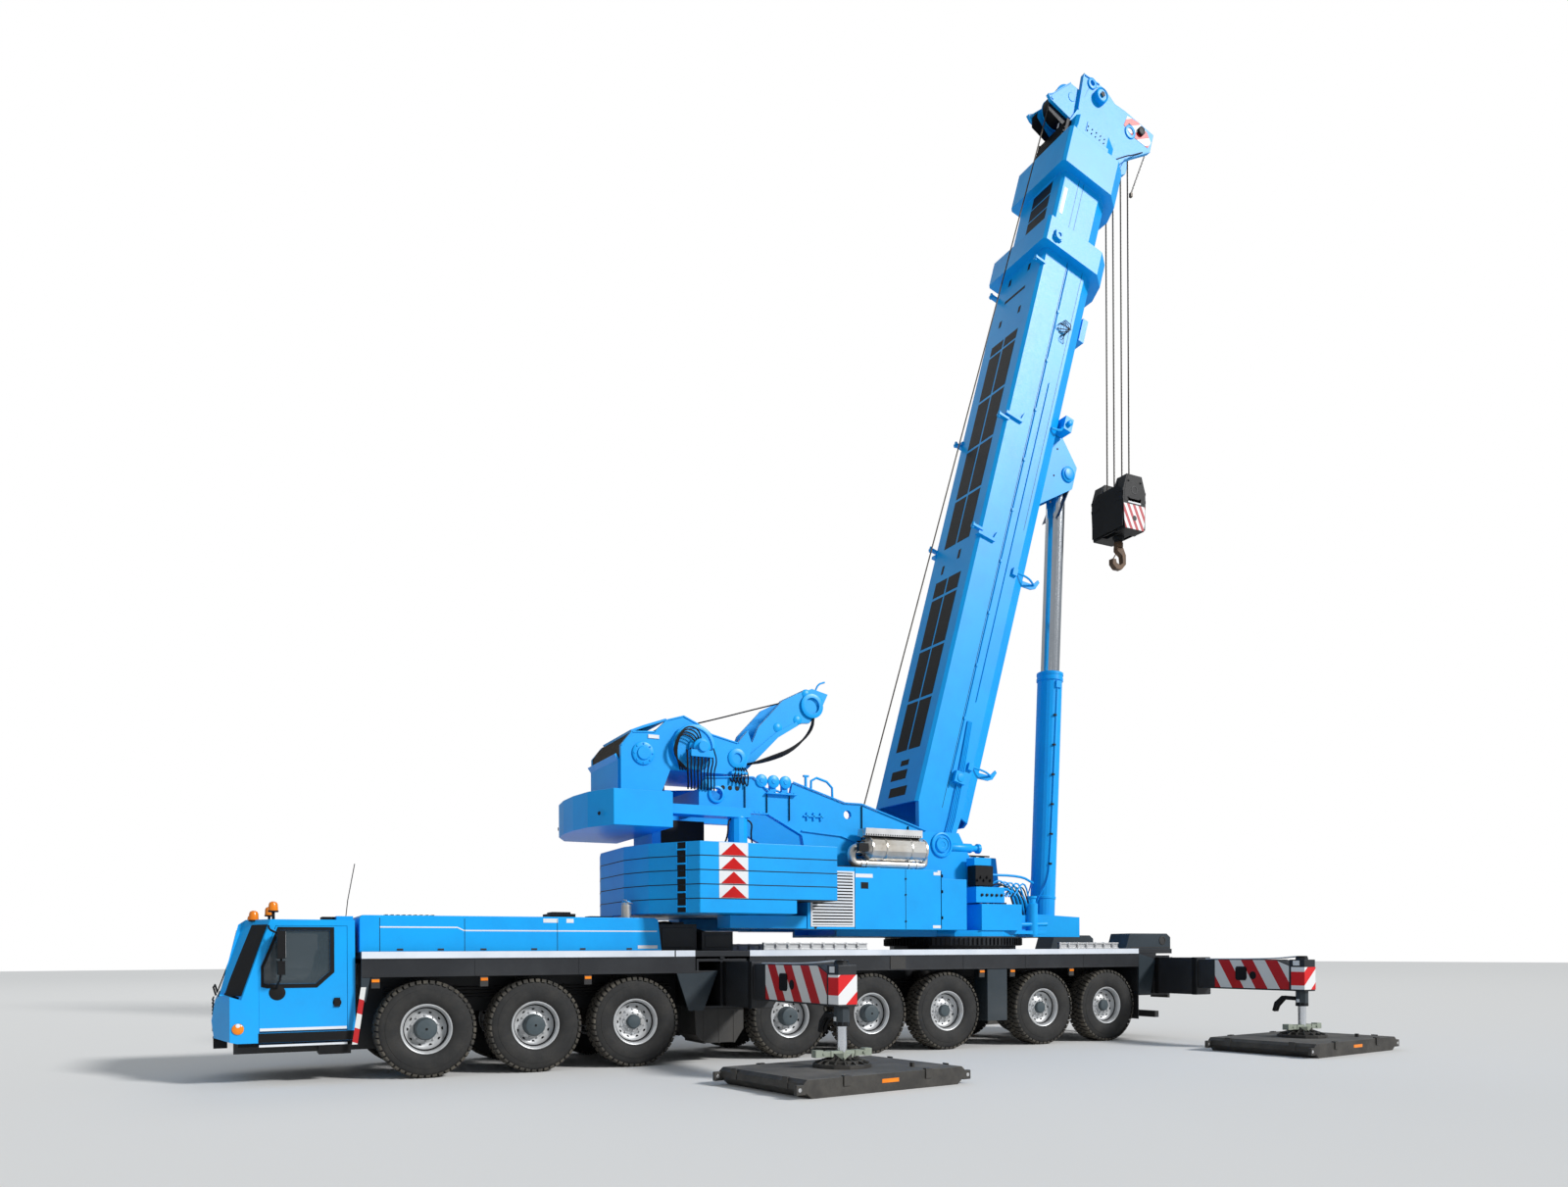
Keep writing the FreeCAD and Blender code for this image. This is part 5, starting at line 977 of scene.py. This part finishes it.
# The winch frame. Two blue cheeks on the upper ballast hold a rope drum in a dark housing, a
# hydraulic motor with a cluster of hoses, and the folded derrick arm with its sheave.
dress("winch_unit", azure, 8)
winch_x, winch_z = 3700, 5330
paint("winch_unit", wire, lambda x, y, z: math.hypot(x - winch_x, z - winch_z) < 395 and abs(y) < 782)
winch = Work()
winch.box(3270, 3304, -785, 785, 4640, 5200)
winch.plate(((3304, 5200), (3270, 5200), (3210, 5290), (3240, 5310)), -785, 785)
winch.plate(((3500, 5735), (3720, 5830), (4150, 5990), (4180, 5960), (3740, 5790), (3520, 5700)), -785, 785)
for _ in winch.both():
    y0, y1 = 860, 878
    winch.tone = 0
    flange(winch, ((3300, 5450), (3500, 5700), (3914, 5728), (4150, 5960), (4452, 6054), (4700, 5950),
                   (4982, 5776), (5498, 5665), (5693, 5895)), y0, y1, 24)
    winch.hoop((4625, 940, 5500), (0, 1, 0), ((0, 330), (0, 402), (16, 402), (22, 390), (22, 330)), 40)
    winch.hoop((5480, 820, 5380), (0, 1, 0), ((0, 90), (0, 180), (60, 180), (66, 168), (66, 90)), 28)
    winch.turned((winch_x, 860, winch_z), (0, 1, 0), ((0, 200), (26, 200), (32, 188), (32, 120), (60, 110)),
                 32)
    winch.bolts([(winch_x + 165 * math.cos(k * 0.7854), 886, winch_z + 165 * math.sin(k * 0.7854))
                 for k in range(8)], (0, 1, 0), 18, 20)
    winch.box(5330, 5640, 860, 960, 5080, 5130)
    winch.tone = 2
    winch.boxes((3790, 3990, y0, y1, 5600, 5665), (5650, 5780, 500, 506, 5560, 5620))
winch.tone = 1
winch.plate(((3420, 4700), (4120, 4700), (4120, 5850), (4080, 5850), (4080, 4740), (3420, 4740)), -775, 775)
winch.tone = 3
for k in range(28):
    winch.hoop((winch_x, -735 + 54 * k, winch_z), (0, 1, 0), ((-25, 380), (0, 408), (25, 380)), 24)
winch.tone = 0
winch.turned((4700, -960, 5480), (0, -1, 0), ((0, 200), (50, 200), (70, 150), (140, 150), (160, 90),
                                              (230, 90)), 28)
winch.box(4480, 4900, -1150, -960, 5300, 5420)
winch.tone = 1
for k in range(9):
    x = 4440 + 62 * k
    winch.pipe(((x, -1050, 5420 + 30 * (k % 3)), (x - 30 + 8 * k, -1140, 5250), (x - 10, -1090, 5060),
                (x + 40, -1000, 4870), (x + 60, -930, 4760)), 17 - k % 3 * 2)
for k in range(4):
    winch.pipe(((4350 + 50 * k, -960, 5080), (4230 - 30 * k, -1040, 5350),
                (4300 + 20 * k, -1080, 5700 + 40 * k), (4540 + 40 * k, -1060, 5640 + 60 * k),
                (4640 + 30 * k, -1040, 5500)), 14)
for k in range(5):
    winch.pipe(((5800 + 20 * k, -520 - 24 * k, 5350), (6200, -530 - 24 * k, 5420 + 14 * k),
                (6750, -530 - 24 * k, 5640 + 16 * k), (7160, -520 - 24 * k, 6060), (7260, -500, 6420)), 20)
    winch.pipe(((5300 + 70 * k, -900, 5060), (5330 + 74 * k, -990, 4880 - 20 * k),
                (5420 + 60 * k, -960, 5180), (5560, -540, 5380)), 14)
winch.pipe(((3760, 0, 5745), (5230, 0, 6180), (6400, 0, 6560), (7150, 0, 6792)), 14)
winch.tone = 0
for x, z in ((6480, 6090), (6900, 6270), (7350, 6680), (7090, 6780)):
    winch.turned((x, -520, z), (0, 1, 0), ((0, 60), (16, 90), (1024, 90), (1040, 60)), 20)
winch.plate(((5450, 5150), (5700, 5120), (6480, 5900), (6900, 6160), (6870, 6230), (6440, 5990),
             (5640, 5330)), -530, -504)
winch.hoop((7200, -520, 6560), (0, -1, 0), ((0, 150), (0, 236), (24, 236), (30, 220), (30, 150)), 32)
winch.box(7180, 7480, -430, 430, 6760, 6800)
winch.pipe(((7330, -380, 6800), (7400, -380, 7020), (7560, -380, 7080)), 18)
winch.piece("winch_trim", (azure, black, white, wire), "superstructure", "azure_paint", 3)

# The crane cab. A narrow tilting cab of blue sheet on the far side of the boom, with large
# tinted panes, a sliding door, a seat with arm consoles and a grille over the roof.
dress("crane_cab", azure, 20)
dress("crane_cab_door", azure, 5)
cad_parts["crane_cab_windows"].data.materials.clear()
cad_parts["crane_cab_windows"].data.materials.append(glass)
seat = Work()
seat.box(11500, 12020, 1180, 1620, 2420, 2900)
seat.plate(((11400, 2850), (11560, 2850), (11440, 3600), (11330, 3600)), 1190, 1610)
for y in (1090, 1640):
    seat.box(11560, 12100, y, y + 70, 2900, 3040)
seat.box(12420, 12560, 1150, 1650, 2600, 3200)
seat.turned((12050, 1120, 3040), (0.2, 0, 1), ((0, 18), (120, 18), (150, 34), (170, 20)), 12)
seat.turned((12050, 1680, 3040), (0.2, 0, 1), ((0, 18), (120, 18), (150, 34), (170, 20)), 12)
for k in range(7):
    seat.box(11000 + 230 * k, 11040 + 230 * k, 1000, 1780, 3980, 4010)
seat.boxes((10960, 12560, 1000, 1040, 4000, 4030), (10960, 12560, 1740, 1780, 4000, 4030))
seat.pipe(((12835, 960, 3100), (12835, 1120, 3500), (12790, 1400, 3700)), 9)
for z in (2900, 3800):
    seat.box(11000, 12780, 1884, 1892, z, z + 22)
seat.tone = 1
seat.box(11760, 11880, 1838, 1846, 2500, 2900)
seat.piece("crane_cab_fittings", (black, bare), "superstructure", "azure_paint", 6)
pane = Work()
pane.tone = 1
pane.box(11040, 11700, 1880, 1883, 2950, 3780)
pane.tone = 0
pane.box(11660, 11720, 1881, 1910, 2780, 2900)
pane.piece("crane_cab_door_pane", (black, glass), "crane_cab_door", "tinted_glass", 2)

# The boom. Welded steel sections of high strength, blue outside, with rows of openings cut in the
# upper flat, guides for ropes on the edges, brackets on the belly and hydraulic pipes at the foot.
boom_pin_x, boom_pin_z, boom_rise = 9900, 4000, 74.3
on_boom = sloping(boom_pin_x, boom_pin_z, boom_rise)
for section in ("boom_base", "boom_tele", "boom_head"):
    dress(section, azure, 10)
# A darker blue that stands for the azure paint in shadow: painted shade.
painted_shade_blue = coat("bracket_painted_shade", (0.04, 0.075, 0.13), (0.06, 0.09, 0.14), 0.45)
base = Work(on_boom)
openings = (729, 732.5)  # the openings are dark panels just above the upper flat, painted shade for the dark inside of the holes
base.tone = 1
for start, end in ((1890, 2970), (3030, 4130), (4190, 5300), (5360, 5720), (6493, 7600), (7660, 8765),
                   (8825, 9930), (9990, 11030), (11080, 11311)):
    base.boxes((start, end, -450, -24, *openings), (start, end, 24, 430, *openings))
for start, end, y0, y1 in ((5880, 6080, 250, 330), (6080, 6290, -260, -170), (1547, 1667, -160, 130),
                           (1248, 1452, -180, 380), (880, 1086, -310, 310), (12770, 12930, -360, -280),
                           (12770, 12930, 280, 360), (11750, 11910, -360, -280), (11750, 11910, 280, 360),
                           (12330, 12400, -340, 340)):
    base.box(start, end, y0, y1, *openings)
for _ in base.both():
    y0, y1 = 779, 783
    base.tone = 1
    base.boxes((760, 13040, y0, y1, 96, 105), (7000, 13040, y0, y1, -330, -322))
    base.tone = 0
    base.pipe(((1200, 794, 60), (13000, 794, 60)), 10, bends=0)
    base.pipe(((3100, 794, -120), (10300, 794, -120)), 8, bends=0)
    for a in range(1500, 13000, 1150):
        base.box(a, a + 60, 780, 808, 36, 84)
    for a in (6450, 9150):
        base.plate(((a - 30, 760), (a + 30, 760), (a + 30, 380), (a + 190, 330), (a + 180, 300),
                    (a - 30, 330)), 700, 835)
    for a in (6560, 9055, 12700):
        y0, y1 = 700, 800
        base.box(a - 24, a + 24, y0, y1, 640, 900)
        base.turned((a - 60, 750, 880), (1, 0, 0), ((0, 30), (120, 30)), 14)
    for a in (1750, 6030):
        y0, y1 = 560, 600
        base.plate(((a - 60, -700), (a + 60, -700), (a + 100, -980), (a + 250, -1080), (a + 210, -1130),
                    (a + 40, -1060), (a - 20, -960)), y0, y1)
        base.pipe(((a + 30, 800, -330), (a + 60, 800, -700), (a + 90, 600, -1000)), 22)
        base.box(a - 60, a + 90, 780, 840, -380, -260)
    y0, y1 = 780, 905
    base.box(1330, 1560, y0, y1, -230, 40)
    base.turned((1440, 905, -90), (0, 1, 0), ((0, 80), (14, 80), (18, 50)), 20)
    for k in range(4):
        base.pipe(((-140, (800 + 9 * k), -210 + 42 * k), (900, (806 + 6 * k), -250 + 42 * k),
                   (2650, 800, -120 + 30 * k)), 15, bends=1)
    base.box(13150, 13330, 958, 1010, 500, 700)
    base.hoop((13240, 1010, 600), (0, 1, 0), ((0, 45), (0, 100), (26, 100), (26, 45)), 28)
    base.hoop((8996, 370, -1390), (0, 1, 0), ((0, 60), (0, 170), (30, 170), (38, 158), (38, 60)), 32)
    base.turned((8996, 372, -1390), (0, 1, 0), ((0, 120), (60, 118), (66, 90)), 28)
    base.tone = 1
    for k in range(5):
        base.pipe(((11300 + 60 * k, 785, -250 + 60 * k), (11420 + 50 * k, 900, -120 - 70 * k),
                   (11700 - 30 * k, 880, -330 + 90 * k), (11820 - 40 * k, 785, -160 + 30 * k)), 8)
    for a in (8200, 8800, 9400):
        base.turned((a, 371, -1100 + (a - 8200) * 0.1), (0, 1, 0), ((0, 22), (6, 22)), 12)
# Painted shade: the underside of the bracket as a plate in the darker blue, where the blue steel lies in
# shadow.
base.tone = 2
base.plate(((8080, -1470), (8760, -1592), (9230, -1592), (9520, -1240), (9200, -1572), (8780, -1572)), -285,
           285)
base.tone = 0
base.boxes((11950, 12480, -420, -140, -1000, -855), (9650, 9950, -700, -400, -1010, -790))
base.turned((9800, -700, -900), (0, -1, 0), ((0, 60), (60, 60), (70, 40)), 20)
base.pipe(((9700, -640, -800), (9500, -760, -700), (9400, -800, -420)), 26)
base.piece("boom_base_trim", (azure, black, painted_shade_blue), "boom_base", "azure_paint", 2)
tele = Work(on_boom)
tele.tone = 1
# Painted shade: black panels on the upper flat stand for the dark inside of its openings.
for k in range(4):
    tele.box(13680 + 325 * k, 13975 + 325 * k, -380, 250, 669, 672.5)
for _ in tele.both():
    y0, y1 = 719, 723
    tele.boxes((13620, 14990, y0, y1, 96, 104), (13620, 14990, y0, y1, 230, 238))
    tele.tone = 2
    tele.box(14020, 14640, y0, y1, 470, 560)
    tele.tone = 0
    tele.box(15200, 15640, 840, 848, -200, 420)
tele.tone = 2
tele.box(15480, 15560, -420, -120, 789, 794)
tele.piece("boom_tele_trim", (azure, black, white), "boom_tele", "azure_paint", 2)

# The boom head. Two cheeks of thick plate hold the hoist sheaves, the top sheave in a dark box
# and the lugs for a jib. Its tip carries a red and white plate, and a short chain hangs from it.
tip_plate = stripes("tip_plate_stripes", (-0.42, 0, 1), 0.3, first=(0.55, 0.02, 0.02),
                    second=(0.75, 0.75, 0.75))
paint("boom_head", black, lambda x, y, z: math.hypot(x - 15281, z - 20873) < 470 and abs(y) < 202)
head = Work(on_boom)
for _ in head.both():
    y0, y1 = 420, 426
    head.tone = 3
    head.plate(((17300, -760), (17560, -800), (17618, -1120), (17560, -1420), (17400, -1590), (17220, -1540),
                (17210, -1060)), y0, y1)
    head.tone = 1
    head.turned((17440, 424, -1240), (0, 1, 0), ((0, 92), (60, 92), (66, 70)), 28)
    head.box(17360, 17430, y0 - 3, y1 + 3, -960, -880)
    head.turned((17440, 540, 30), (0, 1, 0), ((0, 62), (14, 62)), 5)
    head.tone = 0
    head.turned((17440, 420, 30), (0, 1, 0), ((0, 165), (110, 160), (120, 140), (100, 120)), 32)
    head.hoop((17610, 420, 300), (0, 1, 0), ((0, 62), (0, 120), (26, 120), (30, 108), (30, 62)), 28)
    head.hoop((17255, 420, -967), (0, 1, 0), ((0, 90), (0, 150), (22, 150), (26, 136), (26, 90)), 28)
    head.hoop((17061, 222, 680), (0, 1, 0), ((0, 130), (0, 345), (22, 345), (30, 325), (30, 130)), 36)
    y0, y1 = 350, 366
    head.turned((16720, 350, 1150), (0, 1, 0), ((0, 44), (18, 40)), 6)
    flange(head, ((16550, 450), (16640, 1180), (16720, 1290), (16810, 1180), (17350, 800)), y0, y1, 20)
    flange(head, ((17162, -1621), (16569, -1008), (15900, -850)), 420, 440, 24)
    flange(head, ((16831, 504), (17683, 568), (17737, 109)), 420, 440, 24)
    head.box(16180, 16440, 640, 676, -240, 330)
    head.tone = 1
    for a in (16230, 16330):
        head.bolts([(a, 676, -180 + 120 * k) for k in range(5)], (0, 1, 0), 16, 14)
    head.pipe(((16000, 700, -500), (16300, 760, -820), (16700, 470, -1100), (17000, 450, -1400)), 14)
head.tone = 1
for k in range(6):
    head.box(15890 + 92 * k, 15930 + 92 * k, -460, 460, 600, 800 - 14 * k)
    head.turned((15900 + 92 * k, 460, 700), (0, 1, 0), ((0, 22), (110 - 14 * k, 6)), 8)
for _ in head.both():
    head.box(15890, 16410, 440, 470, 600, 740)
head.hoop((17061, 0, 680), (0, 1, 0), ((-215, 322), (-215, 336), (215, 336), (215, 322)), 36)
head.hoop((17255, 0, -967), (0, 1, 0), ((-195, 226), (-140, 258), (-90, 226), (-10, 226), (0, 258),
                                        (10, 226), (90, 226), (140, 258), (195, 226)), 32)
for _ in head.both():
    head.plate(((16500, 560), (16780, 1060), (16900, 1080), (16690, 1180), (16480, 1130), (16380, 600)), 270,
               285)
head.turned((16380, 0, -940), (0, 1, 0), ((-330, 60), (-320, 90), (320, 90), (330, 60)), 24)
for _ in head.both():
    head.box(16340, 16420, 330, 360, -960, -760)
head.tone = 2
head.box(16480, 16600, -120, -60, 690, 700)
head.piece("boom_head_trim", (azure, black, white, tip_plate), "boom_head", "azure_paint", 3)
chain = Work()
for k in range(16):
    t = k / 15
    x, y, z = 16160 - 330 * t, -300 + 190 * t, 20330 - 1050 * t
    wide = 20 if k % 2 else 6
    chain.pipe(((x, y, z), (x - wide, y + 20 - wide, z - 30), (x - 18, y + 10, z - 72),
                (x + wide, y - 20 + wide, z - 38), (x, y, z)), 7, 6, 1)
chain.box(15800, 15860, -140, -80, 19180, 19270)
chain.piece("limit_chain", (wire,), "boom_head", "azure_paint", 0)

# The lift cylinder. One hydraulic cylinder under the boom: a blue honed tube with a bolted gland,
# a chromed rod, an eye at each end, and a thin pipe that runs up the tube to its mouth.
dress("lift_barrel", azure, 8)
dress("lift_rod", chrome, 3)
paint("lift_rod", azure, lambda x, y, z: z > 12100)
ram_foot_x, ram_foot_z, ram_rise = 13200, 2460, 87.2467
on_ram = sloping(ram_foot_x, ram_foot_z, ram_rise)
ram = Work(on_ram)
ram.hoop((5360, 0, 0), (1, 0, 0), ((0, 262), (0, 288), (60, 288), (66, 279), (120, 279), (120, 288),
                                   (178, 288), (184, 280), (184, 206), (120, 206)), 48)
ram.hoop((560, 0, 0), (1, 0, 0), ((0, 262), (10, 280), (60, 280), (70, 262)), 48)
ram.boxes((5180, 5330, -300, -255, -90, 60), (320, 520, -90, 90, 255, 330))
for _ in ram.both():
    ram.pipe(((420, 120, 300), (620, 200, 262), (900, 262, 120), (1300, 276, 60), (5200, 276, 20)), 13)
    ram.hoop((0, 266, 0), (0, 1, 0), ((0, 130), (0, 190), (8, 190), (8, 130)), 32)
ram.tone = 1
for a in range(1300, 5200, 650):
    ram.box(a, a + 40, -294, -262, 20, 90)
ram.bolts([(5544, 247 * math.cos(k * 0.5236), 247 * math.sin(k * 0.5236)) for k in range(12)], (1, 0, 0), 14,
          12)
ram.piece("lift_barrel_trim", (azure, black), "lift_barrel", "azure_paint", 2)
eye = Work(on_ram)
eye.hoop((9580, 0, 0), (1, 0, 0), ((0, 200), (0, 232), (70, 232), (110, 200)), 40)
eye.box(9560, 9760, -90, 90, 196, 262)
eye.pipe(((9640, 0, 262), (9600, -60, 330), (9420, -140, 300), (9380, -190, 120)), 14)
eye.piece("lift_rod_eye", azure, "lift_rod", "azure_paint", 3)

# The hoist. Steel wire rope runs from the drum along the boom to the top sheave. Four taut falls
# carry the hook block: black ballast cheeks with a striped lower half, and a forged hook.
dress("hoist_falls", wire, 1)
ropes = Work()
for x in (15275, 15725):
    for y in (-110, 110):
        for k in range(100):
            z = 12320 + 80 * k
            ropes.hoop((x, y, z), (0.25, 0.1, 1), ((0, 13.6), (24, 15.6), (48, 13.6)), 8)
ropes.piece("fall_strands", wire, "hoist_falls", "wire_rope", 0)
lead = Work()
lead.pipe(((8046, -30, 2880), (13548, -30, 20700)), 14, 10, 0)
lead.piece("hoist_rope", wire, "boom_base", "wire_rope", 0)
hook_rust = coat("forged_hook", (0.11, 0.06, 0.03), (0.05, 0.035, 0.025), 0.5, 0.3, cloud=8)
block_foil = stripes("block_stripes", (1, 0, 0.5), 0.155, first=(0.45, 0.02, 0.03), second=(0.8, 0.8, 0.8))
dress("hook_block", black, 6)
paint("hook_block", hook_rust, lambda x, y, z: z < 11120)
cheek = ((-285, -950), (285, -950), (318, -780), (340, -330), (335, -60), (225, 280), (-225, 280),
         (-335, -60), (-340, -330), (-318, -780))
hook_x, hook_z = 15500, 12300


def on_block(x, y, z):
    """A point measured from the axle of the hook block's sheaves."""
    return from_axle(hook_x + x, y, hook_z + z)


block = Work(on_block)
for _ in block.both():
    block.tone = 0
    near, far = 252, 500
    block.plate(cheek, near, far)
    y0, y1 = 500, 505
    block.plate([(x * 0.86, z * 0.97 - 10) for x, z in cheek if z > -400], y0, y1)
    for z in (-300, -120):
        for x in (-348, 330):
            block.box(x, x + 18, near, far, z, z + 60)
    block.bolts([(x, 505, z) for x in (-180, 180) for z in (130, -250)], (0, 1, 0), 26, 18)
    block.tone = 1
    block.plate(((-270, -940), (270, -940), (304, -780), (322, -390), (-322, -390), (-304, -780)), y0, y1)
    block.tone = 2
    block.box(-190, 190, y0, y1, -360, -260)
    block.tone = 3
    block.turned((0, 500, -60), (0, 1, 0), ((0, 95), (9, 95), (9, 70), (1, 70)), 28)
    block.turned((0, 500, -690), (0, 1, 0), ((0, 60), (8, 60)), 24)
block.tone = 0
for y in (-110, 0, 110):
    block.hoop((0, y, 0), (0, 1, 0), ((-30, 205), (-14, 222), (14, 222), (30, 205)), 36)
block.plate(((-330, -300), (-300, -930), (-280, -930), (-300, -300)), -250, 250)
block.plate(((330, -300), (300, -930), (280, -930), (300, -300)), -250, 250)
block.turned((0, 0, -1020), (0, 0, 1), ((0, 120), (50, 130), (70, 130)), 8)
for x in (-1, 1):
    block.prism([(x * out, y, z) for out in (330, 344) for y,
                 z in ((-480, -900), (480, -900), (480, -100), (300, 60), (-300, 60), (-480, -100))])
block.piece("hook_block_cheeks", (black, block_foil, white, dark_steel), "hook_block", "black_paint", 5)
latch = Work(on_block)
latch.pipe(((-70, 0, -1330), (-130, 0, -1420), (-190, 0, -1500)), 14)
latch.turned((0, 0, -1200), (0, 0, 1), ((0, 98), (30, 104), (110, 104), (130, 92)), 24)
latch.piece("hook_latch", hook_rust, "hook_block", "black_paint", 2)

# Warning plates. Two folded aluminium strips with red and white foil, hung behind the cab's
# doors on the ends of the first wheel's skirt, leaning forward towards the ground.
for side, sign in sides:
    marker = Work(side=sign)
    marker.plate(((-935, 1400), (-862, 1400), (-985, 560), (-1062, 560)), 1490, 1496)
    marker.piece("warning_plate_" + side, stripes("warning_" + side, (0.35, 0, 1), 0.42), "root",
                 "anthracite_paint", 1)
